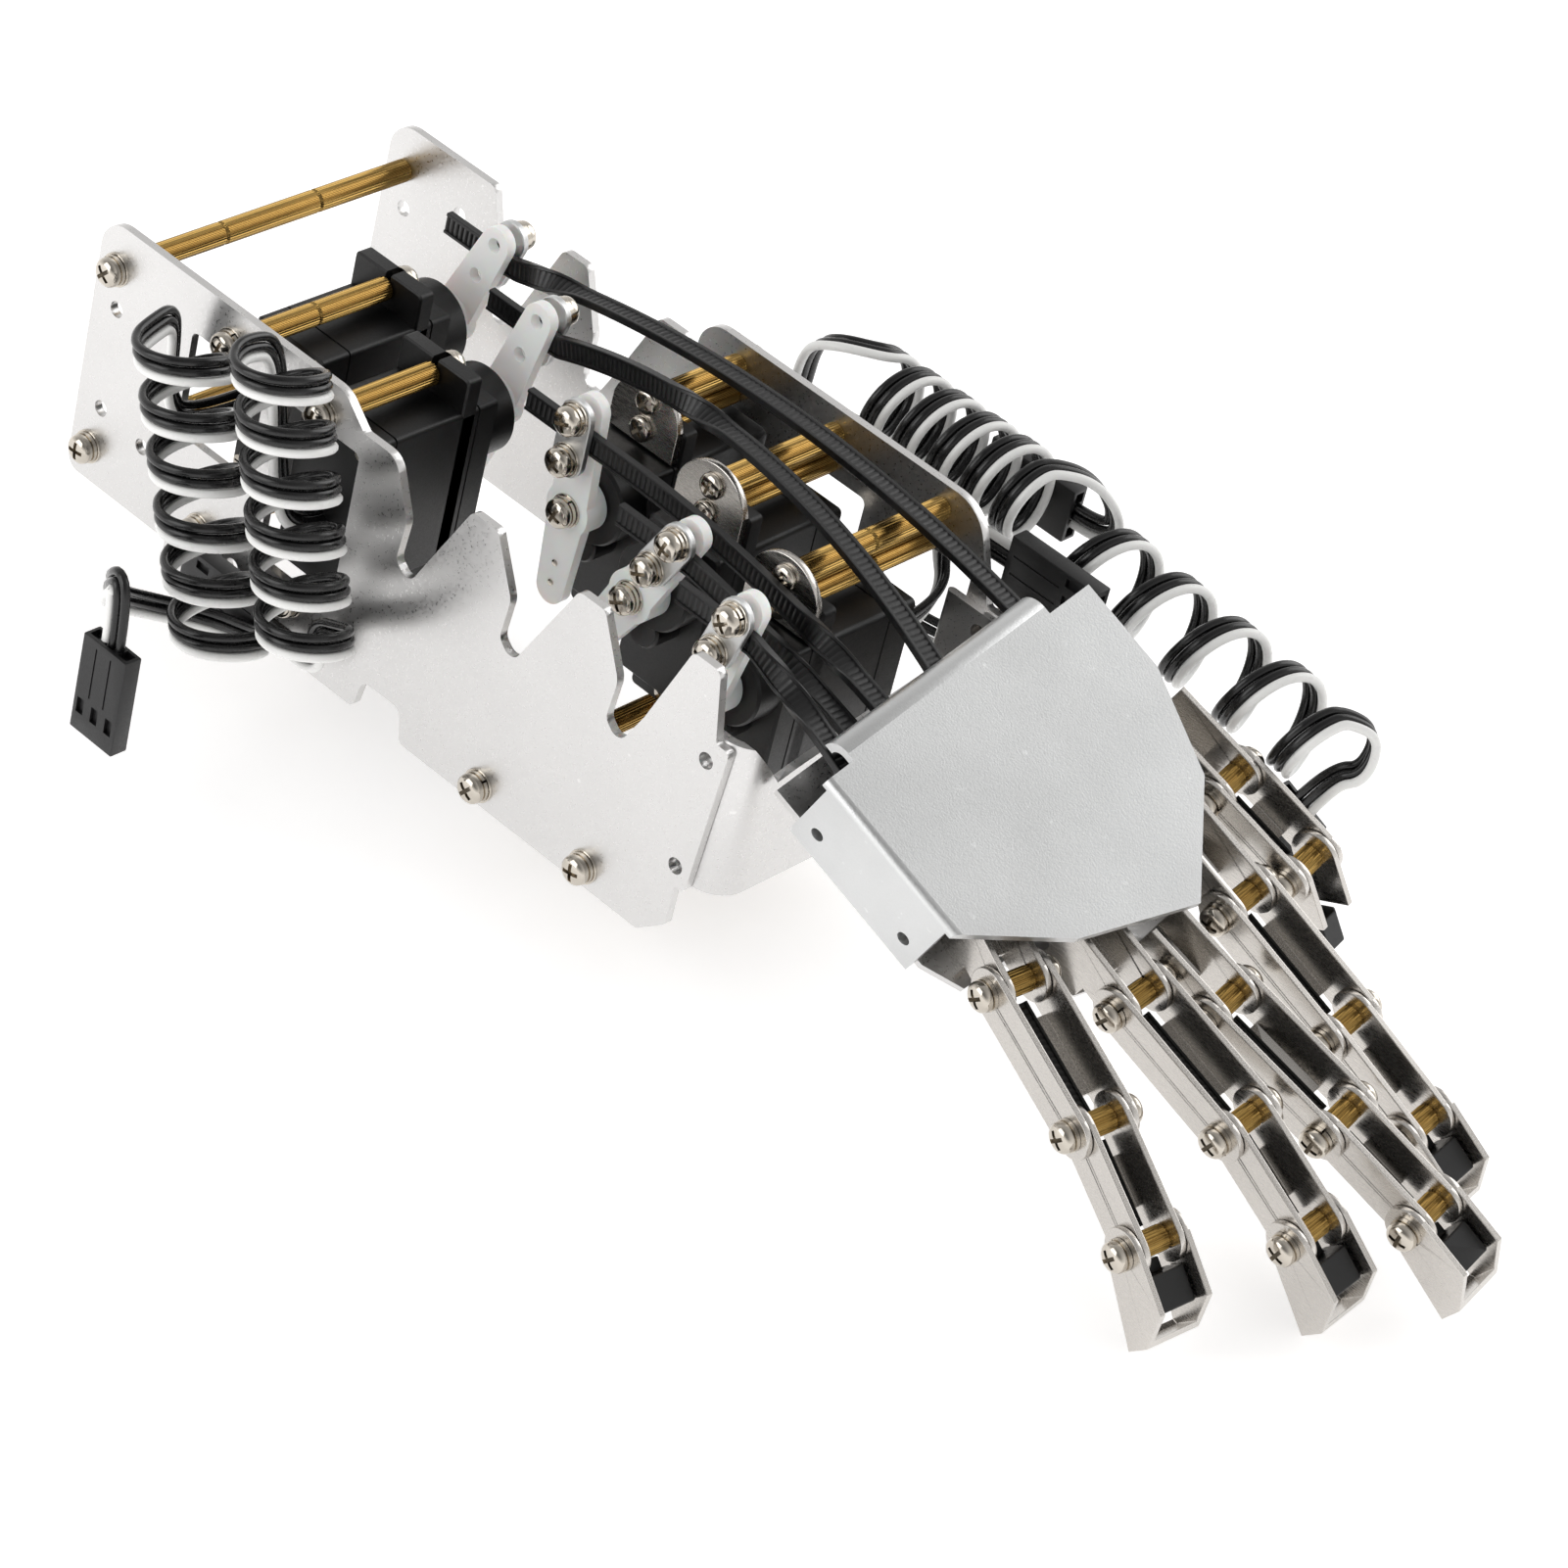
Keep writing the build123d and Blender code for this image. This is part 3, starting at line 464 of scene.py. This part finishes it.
back_screw_places = [(x, y, 0) for x in (-4.8, 4.8) for y in (-15.6, 4.6)]


def rounded_ring(half_x, y_low, y_high, z, radius, steps=4):
    """Points of a rectangle with round corners at height z, in mm."""
    ring = []
    x, low, high = half_x - radius, y_low + radius, y_high - radius
    for centre_x, centre_y, start in ((x, high, 0), (-x, high, 90), (-x, low, 180), (x, low, 270)):
        for k in range(steps + 1):
            a = radians(start + 90 * k / steps)
            ring.append((centre_x + radius * cos(a), centre_y + radius * sin(a), z))
    return ring


def case_mesh(name, ends, levels):
    """Case that draws in by the given inset at each (height, inset) level."""
    return lofted(name, [
        rounded_ring(case_half_width - inset, ends[0] + inset, ends[1] - inset, z, case_corner - inset / 2)
        for z, inset in levels])


case_levels = [(0.0, case_edge), (case_edge, 0.0)]
for seam in (lower_seam, upper_seam):
    case_levels += [(seam, 0.0), (seam + seam_slope, seam_depth),
                    (seam + seam_width - seam_slope, seam_depth), (seam + seam_width, 0.0)]
case_levels += [(case_height - case_edge, 0.0), (case_height, case_edge)]
case = case_mesh("case", case_ends, case_levels)
ears = case_mesh("ears", ear_ends, [
    (ear_back_height, ear_edge), (ear_back_height + ear_edge, 0.0),
    (ear_front_height - ear_edge, 0.0), (ear_front_height, ear_edge)])
for hole_y in ear_holes:
    slit_end = hole_y + (ear_slit_length if hole_y > 0 else -ear_slit_length)
    hole = revolved("hole", [(ear_hole_radius, below_ears), (ear_hole_radius, above_ears)], 24)
    hole.transform(Matrix.Translation((0, hole_y * mm, 0)))
    slit = block("slit", (-ear_slit_half_width, min(hole_y, slit_end), below_ears),
                 (ear_slit_half_width, max(hole_y, slit_end), above_ears))
    ears = cut_by(cut_by(ears, hole), slit)
servo_mesh = joined("servo", [
    (case, centred), (ears, centred), (revolved("boss", boss_profile, 48), centred),
    (revolved("bump", gear_bump_profile), (0, gear_bump_y, 0))])
back_screw = cut_by(revolved("back_screw", back_screw_profile, 16),
                    block("back_slot", (-0.7, -0.15, -1.0), (0.7, 0.15, 0.25)))
back_screws = joined("back_screws", [(back_screw, place) for place in back_screw_places])

for number, (x, gap, side) in servo_rows.items():
    back = side * (plate_inner - gap + ear_back_height)
    place = Matrix(((side, 0, 0, x * mm), (0, 0, -side, back * mm), (0, 1, 0, shaft_z * mm), (0, 0, 0, 1)))
    servo = add_piece(f"servo_{number}_case", servo_mesh, servo_abs, "frame", place)
    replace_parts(servo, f"servo_{number}")
    add_piece(f"servo_{number}_back_screws", back_screws, nickel_steel, "frame", place)

# Servo horns and strap clamps
# Two-armed horns moulded in natural nylon, screwed to the servo's shaft, and over each strap a
# plate of aluminium sheet with round ends and two screws.

# Moulded nylon: milky white, so light goes a little way into it. It also glows faintly by itself, a painted
# light that lifts its shaded sides.
horn_nylon = surface("moulded_nylon_natural", "f3f4f2", 0.36, grain_mm=0.625, relief_mm=0.01, patches=0.03,
                     Subsurface_Weight=0.4, Subsurface_Scale=2 * mm, Emission_Color=linear("fffffd"),
                     Emission_Strength=0.07)
# Satin sheet: blasted, so it is the palest of the metals and its highlights are the softest.
satin_aluminium = surface("satin_aluminium", "dadbdb", 0.4, 1.0, grain_mm=0.263, relief_mm=0.02,
                          patches=0.08, nicks=0.03)
pivots = {joint["name"]: Vector(joint["pos_m"]) for joint in frame["joints"]}
# Sizes in mm, heights above the servo's back, places along the horn's arm from the shaft.
clamp_centre, clamp_half_length, clamp_half_width = 11.5, 5.5, 2.5
clamp_bottom, clamp_top, clamp_edge = 31.8, 32.8, 0.12
horn_edge, shaft_screw_height = 0.2, 30.5
clamp_screw_reaches, mark_reaches = (8.5, 14.5), (8, 11)
# Two small round marks stand on the arm that carries no strap.
horn_mark_profile = [(0.45, 30.3), (0.45, 30.62), (0.3, 30.7)]


def frame_at(origin, x_axis, y_axis):
    """Matrix with the given origin and X axis, and Y as near the given one as square axes allow."""
    x_axis = x_axis.normalized()
    z_axis = x_axis.cross(y_axis).normalized()
    turned = Matrix((x_axis, z_axis.cross(x_axis), z_axis)).transposed().to_4x4()
    turned.translation = origin
    return turned


def clamp_ring(z, inset, steps=12):
    """Outline of the clamp plate at height z, drawn in by inset, in mm."""
    radius = clamp_half_width - inset
    ring = []
    for end, start in ((1, 0.0), (-1, pi)):
        centre_y = clamp_centre + end * (clamp_half_length - clamp_half_width)
        for k in range(steps + 1):
            a = start + pi * k / steps
            ring.append((radius * cos(a), centre_y + radius * sin(a), z))
    return ring


clamp_mesh = lofted("clamp", [
    clamp_ring(clamp_bottom, clamp_edge), clamp_ring(clamp_bottom + clamp_edge, 0.0),
    clamp_ring(clamp_top - clamp_edge, 0.0), clamp_ring(clamp_top, clamp_edge)])
horn_mark = revolved("horn_mark", horn_mark_profile, 16)

for number, (x, gap, side) in servo_rows.items():
    dress(f"servo_horn_{number}", horn_nylon, horn_edge)
    body = f"horn_{number}"
    shaft = pivots[f"servo_{number}_turn"]
    grip = pivots[f"strap_{number}_level"]
    arm = Vector((grip.x - shaft.x, 0, grip.z - shaft.z)).normalized()
    back = side * (plate_inner - gap + ear_back_height) * mm
    outward = Vector((0, -side, 0))
    place = frame_at(Vector((shaft.x, back, shaft.z)), arm.cross(outward), arm)
    clamp = add_piece(f"horn_clamp_plate_{number}", clamp_mesh, satin_aluminium, body, place)
    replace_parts(clamp, f"horn_clamp_{number}")
    for reach in clamp_screw_reaches:
        screw(place @ Vector((0, reach * mm, clamp_top * mm)), outward, body)
    screw(place @ Vector((0, 0, shaft_screw_height * mm)), outward, body)
    for reach in mark_reaches:
        behind = place @ Matrix.Translation((0, -reach * mm, 0))
        add_piece(f"horn_{number}_hole_{reach}", horn_mark, nickel_steel, body, behind)

# Ear plates and wrist
# Rounded sheet plates over the front servos' ears, the folded wrist bracket between the side
# plates, the palm cover of bent sheet with a rolled rear lip, and the brackets of the fingers.

# Brushed sheet: fine lines along the arm, drawn coarser than they are, which draw its
# reflections out.
brushed_aluminium = surface("brushed_aluminium", "cfcbc6", 0.26, 1.0, grain_mm=1.43, squeeze=(1, 14, 14),
                            relief_mm=0.002, patches=0.06)
dress("servo_ear_plates", brushed_aluminium)
dress("wrist_bracket", sheet_aluminium)
dress("palm_cover", satin_aluminium, 0.15)
dress("knuckle_brackets", brushed_aluminium)

# Strap tendons
# Black nylon straps with a rack of fine teeth along one face. Each stands on edge in its
# clamp, twists flat and bows over to the palm.

# Moulded nylon: black and half glossy, with a faint grain.
strap_nylon = surface("moulded_nylon_black", "0a0a0b", 0.36, grain_mm=0.455, relief_mm=0.008, patches=0.1)
strap_half_width, tooth_pitch = 1.5, 0.85
rail_width, rail_slope, tooth_edge, back_edge = 0.42, 0.08, 0.1, 0.12
# Depth of the rack at three places along each tooth.
tooth_depths = (0.17, 0.17, 0.2788)


def ease(t):
    """0 to 1, level at both ends."""
    t = min(max(t, 0.0), 1.0)
    return t * t * (3 - 2 * t)


def strap_stations(line, ups, step):
    """(place, way, up) at every step along a line of points."""
    stations, passed, travelled = [], 0.0, 0.0
    for a, b, up_a, up_b in zip(line, line[1:], ups, ups[1:]):
        length = (b - a).length
        while travelled <= passed + length + 1e-6:
            t = (travelled - passed) / length
            up = Vector(up_a).lerp(Vector(up_b), t).normalized()
            stations.append((a.lerp(b, t), (b - a).normalized(), up))
            travelled += step
        passed += length
    return stations


def toothed_strap(name, line, ups, thickness=1.1):
    """Strap through points in mm, its toothed face towards ups."""
    total = sum((b - a).length for a, b in zip(line, line[1:]))
    step = total / max(2, round(total / (tooth_pitch / 3)))
    inner, half = strap_half_width - rail_width, strap_half_width
    top = thickness / 2
    rings = []
    for n, (centre, along, up) in enumerate(strap_stations(line, ups, step)):
        across = up.cross(along).normalized()
        up = along.cross(across)
        rack = top - tooth_depths[n % 3]
        half_outline = [
            (inner - rail_slope, rack), (inner, top), (half - tooth_edge, top), (half, top - tooth_edge),
            (half, back_edge - top), (half - back_edge, -top)]
        outline = half_outline + [(-s, h) for s, h in reversed(half_outline)]
        rings.append([centre + across * s + up * h for s, h in reversed(outline)])
    return lofted(name, rings, 30.0)


# Straps in mm: height where they end in the palm, rise of the bow, sideways slope, length
# that stays on edge.
strap_shapes = {1: (23.0, 7.0, 0.0, 8.0), 2: (19.0, 9.8, -0.1, 27.0), 3: (18.4, 2.9, -0.065, 43.0),
                4: (15.8, 1.0, -0.05, 20.0), 5: (14.8, 0.6, -0.03, 8.0)}
strap_end_x, strap_tail, bow_start, slope_start = 124.6, 9.0, 3.2, 3.0
twist_lead, twist_length = 4.0, 12.0
strap_steps = 60
for number, (end_z, rise, slope, on_edge) in strap_shapes.items():
    grip = pivots[f"strap_{number}_level"] / mm
    run = strap_end_x - grip.x
    line, ups = [], []
    for k in range(strap_steps + 1):
        s = -strap_tail + (run + strap_tail) * k / strap_steps
        t = max(0.0, (s - bow_start) / (run - bow_start))
        y = grip.y + slope * max(0.0, s - slope_start)
        z = grip.z + (end_z - grip.z) * t + 4 * rise * t * (1 - t)
        line.append(Vector((grip.x + s, y, z)))
        flat = ease((s - on_edge + twist_lead) / twist_length) * pi / 2
        ups.append((0, -cos(flat), sin(flat)))
    name = f"strap_tendon_{number}"
    strap = add_piece(name, toothed_strap(name, line, ups), strap_nylon, f"strap_{number}")
    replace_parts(strap, f"strap_{number}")

# Fingers
# Channels folded from 0.8 mm sheet, pinned through ribbed brass spacers with a screw at each
# side. The strap lies in the channels under the spacers and ends in its square lock.

axes = {joint["name"]: Vector(joint["axis"]).normalized() for joint in frame["joints"]}
finger_spacer_length, screw_seat, strap_under_pin, strap_setback = 4.4, 3.95, 2.15, 2.0
channel_edge, lock_edge = 0.1, 0.2
finger_spacer_radius, finger_spacer_ribs, finger_strap_thickness = 1.6, 22, 0.9
finger_spacer = ribbed_rod("finger_spacer", finger_spacer_radius, finger_spacer_length, finger_spacer_ribs)


def finger_pin(name, joint, body):
    """Spacer and two screws at a joint."""
    centre, axis = pivots[joint], axes[joint]
    turned = axis.to_track_quat("Z", "Y").to_matrix().to_4x4()
    low_end = Matrix.Translation((0, 0, -finger_spacer_length / 2 * mm))
    place = Matrix.Translation(centre) @ turned @ low_end
    spacer = add_piece(name, finger_spacer, ribbed_brass, body, place)
    for way in (-1, 1):
        kind = "flush" if way > 0 and joint.endswith("tip_bend") else "low"
        screw(centre + axis * way * screw_seat * mm, axis * way, body, kind)
    return spacer


def channel_strap(name, start, end, axis, body):
    """Strap piece in the channel between two joints."""
    along = (end - start).normalized()
    up = along.cross(axis).normalized()
    lowered = -up * strap_under_pin
    line = [start / mm + along * strap_setback + lowered, end / mm - along * strap_setback + lowered]
    mesh = toothed_strap(name, line, [up, up], finger_strap_thickness)
    return add_piece(name, mesh, strap_nylon, body)


knuckle_spacers = []
for number in (1, 2, 3, 4):
    joints = [f"finger_{number}_{name}_bend" for name in ("root", "middle", "tip")]
    bodies = [f"finger_{number}_{name}" for name in ("proximal", "middle", "tip")]
    for body in bodies:
        dress(body, brushed_aluminium, channel_edge)
    dress(f"strap_head_{number}", strap_nylon, lock_edge)
    knuckle_spacers.append(finger_pin(f"finger_{number}_root_spacer", joints[0], "frame"))
    middle_spacer = finger_pin(f"finger_{number}_middle_spacer", joints[1], bodies[1])
    finger_pin(f"finger_{number}_tip_spacer", joints[2], bodies[1])
    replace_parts(middle_spacer, f"finger_{number}_pins")
    root, middle, tip = (pivots[joint] for joint in joints)
    axis = axes[joints[0]]
    channel_strap(f"finger_{number}_strap_proximal", root, middle, axis, bodies[0])
    channel_strap(f"finger_{number}_strap_middle", middle, tip, axis, bodies[1])

for node in ("thumb_proximal", "thumb_tip"):
    dress(node, brushed_aluminium, channel_edge)
dress("strap_head_5", strap_nylon, lock_edge)
knuckle_spacers.append(finger_pin("thumb_root_spacer", "thumb_root_bend", "frame"))
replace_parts(finger_pin("thumb_tip_spacer", "thumb_tip_bend", "thumb_tip"), "thumb_pin")
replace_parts(knuckle_spacers[0], "knuckle_pins")
channel_strap("thumb_strap", pivots["thumb_root_bend"], pivots["thumb_tip_bend"], axes["thumb_root_bend"],
              "thumb_proximal")

# Servo leads
# Flat three-wire leads, black, black and white. Four are wound into open coils as they came
# off the rod. The wires of a lead run side by side from the servo's back to its plug.

# Extruded PVC: smooth and fairly glossy, the white one a little duller.
black_pvc = surface("extruded_pvc_black", "0f0f10", 0.24, grain_mm=0.833, relief_mm=0.006, patches=0.1)
white_pvc = surface("extruded_pvc_white", "f2f2f0", 0.32, grain_mm=0.833, relief_mm=0.006, patches=0.03)
wire_diameter = 0.0012
wire_pitch = 1.03 * wire_diameter
route_step = 0.0003
coil_radius, points_per_turn = 5.6, 12
# Rows in mm: points before the coil, ends of the coil's axis, points after it, turns, side of
# the axis on which the first turn starts.
leads = {
    1: ([(15.4, -15.2, 7.3), (15.4, -26.0, 7.3), (14.6, -29.3, 12), (14.4, -29.3, 19), (14.6, -30.5, 24.5)],
        [(21, -35.5, 26.6), (36.4, -35.5, -11.0)],
        [(30, -30.5, -12.4), (25, -35, -11.8), (25.5, -45, -6), (34.5, -55.5, 6), (38.6, -57.1, 9.5),
         (38.8, -57.1, -0.6)], 5.75, (-1, 0, 0)),
    2: ([(38, -23.2, 5.8), (37.8, -28.4, 6.2), (35.2, -29.3, 11), (33.2, -29.3, 20), (31.6, -30.2, 30)],
        [(37.2, -35.5, 33.6), (50, -35.5, -1.7)],
        [(45, -28.6, -4.5), (45.5, -28, -10), (40, -28, -10), (36.2, -28, -10)], 5.75, (-1, 0, 0)),
    3: ([(59.1, 27.2, 7.8), (59.1, 36.5, 7.8), (59.4, 37.5, 17), (61.5, 35, 27), (66, 33.5, 30.5)],
        [(71.1, 37.5, 24.8), (99.1, 37.5, 24.8)],
        [(102.5, 42.5, 29), (106, 44.4, 25), (105.5, 44.9, 20.8), (99.1, 44.9, 20.8)], 5, (0, 0, 1)),
    4: ([(76.1, 21.2, 0.8), (76.1, 33, 0.8), (90, 34, 0.8), (101, 37, 1.5), (104, 42.5, 6.5),
         (104.5, 43.8, 12.5)],
        [(105.6, 40, 20.7), (146.6, 40, 17.2)],
        [(150.5, 43.5, 21), (151.3, 41.5, 16), (148.3, 40, 14.5), (145.4, 40, 7.2)], 4.5, (0, 0, -1)),
    5: ([(95.6, 15.2, 9.8), (95.6, 28.5, 9.8), (90.6, 30, 18.5), (94.6, 30, 21.3), (102.6, 30, 21.3)],
        [], [], 0, None),
}
# Plugs: wire end in mm, way the plug points, side of its windows.
plug_rows = {
    1: ((38.8, -57.1, 0.0), (0, 0, -1), (0, -1, 0)),
    2: ((35.6, -28.0, -10.0), (-1, 0, 0), (0, -1, 0)),
    3: ((99.7, 44.9, 20.8), (-1, 0, 0), (0, 1, 0)),
    4: ((145.6, 40.0, 7.8), (-0.35, 0, -0.94), (0, -1, 0)),
    5: ((102.1, 30.0, 21.3), (1, 0, 0), (0, -1, 0)),
}


def route_line(points):
    """Points, in metres, of the smooth line that a cord takes past its route points in mm."""
    curve = bpy.data.curves.new("route", "CURVE")
    curve.dimensions = "3D"
    spline = curve.splines.new("NURBS")
    spline.points.add(len(points) - 1)
    for point, place in zip(spline.points, points):
        point.co = (*[c * mm for c in place], 1.0)
    spline.order_u = 3
    spline.use_endpoint_u = True
    spline.resolution_u = 24
    holder = bpy.data.objects.new("route", curve)
    mesh = bpy.data.meshes.new_from_object(holder)
    line = [v.co.copy() for v in mesh.vertices]
    bpy.data.objects.remove(holder)
    bpy.data.meshes.remove(mesh)
    return line


def even_line(line, step):
    """The same line with points a step apart."""
    spaced, carried = [line[0]], 0.0
    for a, b in zip(line, line[1:]):
        length = (b - a).length
        while carried + length >= step:
            a = a.lerp(b, (step - carried) / length)
            spaced.append(a)
            length, carried = (b - a).length, 0.0
        carried += length
    return spaced + [line[-1]]


def coil_points(ends, turns, start):
    """Route points in mm of a coil about the line between its ends."""
    first, last = (Vector(end) for end in ends)
    along = (last - first).normalized()
    side = Vector(start)
    side = (side - along * side.dot(along)).normalized()
    other = side.cross(along)
    steps = round(turns * points_per_turn)
    points = []
    for k in range(steps + 1):
        a = 2 * pi * k / points_per_turn
        points.append(first.lerp(last, k / steps) + (side * cos(a) + other * sin(a)) * coil_radius)
    return points


def lead_strands(before, coil, after, turns, start, plug_side):
    """Three lines side by side: flat round the coil's axis, and in line with the plug at the end."""
    wound = coil_points(coil, turns, start) if coil else []
    line = even_line(route_line(before + wound + after), route_step)
    ahead = [(line[min(i + 1, len(line) - 1)] - line[max(i - 1, 0)]).normalized() for i in range(len(line))]
    if coil:
        axis = Vector(coil[1]) - Vector(coil[0])
        first, last = (min(range(len(line)), key=lambda i: (line[i] - point * mm).length)
                       for point in (wound[0], wound[-1]))
    else:
        axis = plug_side
        first = last = 0
    across = [(axis - way * axis.dot(way)).normalized() for way in ahead]
    for i in range(first - 1, -1, -1):
        across[i] = (across[i + 1] - ahead[i] * across[i + 1].dot(ahead[i])).normalized()
    for i in range(last + 1, len(line)):
        across[i] = (across[i - 1] - ahead[i] * across[i - 1].dot(ahead[i])).normalized()
    goal = plug_side if plug_side.dot(across[-1]) >= 0 else -plug_side
    twist = across[-1].angle(goal) * (1 if across[-1].cross(goal).dot(ahead[-1]) > 0 else -1)
    for i in range(last, len(line)):
        across[i].rotate(Quaternion(ahead[i], twist * ease((i - last) / (len(line) - last))))
    return [[centre + side * k * wire_pitch for centre, side in zip(line, across)] for k in (-1, 0, 1)]


def wire(name, points):
    """Round wire through points in metres."""
    curve = bpy.data.curves.new(name, "CURVE")
    curve.dimensions = "3D"
    curve.bevel_depth = wire_diameter / 2
    curve.bevel_resolution = 3
    curve.use_fill_caps = True
    spline = curve.splines.new("POLY")
    spline.points.add(len(points) - 1)
    for point, place in zip(spline.points, points):
        point.co = (*place, 1.0)
    return curve


for number, (before, coil, after, turns, start) in leads.items():
    end, along, face = plug_rows[number]
    strands = lead_strands(before, coil, after, turns, start, Vector(along).cross(Vector(face)).normalized())
    wires = []
    for k, (strand, material) in enumerate(zip(strands, (black_pvc, black_pvc, white_pvc))):
        name = f"lead_{number}_wire_{k + 1}"
        wires.append(add_piece(name, wire(name, strand), material, "frame"))
    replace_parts(wires[1], f"lead_{number}")

# Lead plugs
# Three-way housings of black plastic, with a latch window over each contact, grooves between
# the ways, and three square sockets in the end.

# Moulded plastic: black and half matt, a shade paler than the servo cases.
plug_abs = surface("moulded_plug_black", "141415", 0.42, grain_mm=0.25, relief_mm=0.01, patches=0.1)
# Sizes in mm. The housing stands along Z from its wire end at 0, its wide face towards X.
plug_half_thickness, plug_half_width, plug_length, plug_edge = 1.3, 3.8, 14.0, 0.18
contact_pitch = 2.54
# Cuts at each contact: from and to along X, half width along Y, from and to along Z.
contact_cuts = {"window": (0.75, 2.0, 0.6, 9.2, 11.4), "socket": (-0.5, 0.5, 0.5, 12.0, 15.0),
                "entry": (-0.75, 0.75, 0.75, -1.0, 0.9)}
groove_cut = (1.15, 2.0, 0.12, 1.0, 8.4)


def cut_into(housing, name, centre_y, cut):
    """housing with a block of the given cut taken out about centre_y."""
    x_low, x_high, half_y, z_low, z_high = cut
    low, high = (x_low, centre_y - half_y, z_low), (x_high, centre_y + half_y, z_high)
    return cut_by(housing, block(name, low, high))


plug = block("housing", (-plug_half_thickness, -plug_half_width, 0),
             (plug_half_thickness, plug_half_width, plug_length), plug_edge)
for way in (-contact_pitch, 0.0, contact_pitch):
    for name, cut in contact_cuts.items():
        plug = cut_into(plug, name, way, cut)
for groove_y in (-contact_pitch / 2, contact_pitch / 2):
    plug = cut_into(plug, "groove", groove_y, groove_cut)
smooth_by_angle(plug)

plugs = []
for number, (end, along, face) in plug_rows.items():
    along, face = Vector(along).normalized(), Vector(face)
    place = frame_at(Vector(end) * mm, face, along.cross(face))
    plugs.append(add_piece(f"lead_{number}_plug", plug, plug_abs, "frame", place))
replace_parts(plugs[0], "lead_plugs")
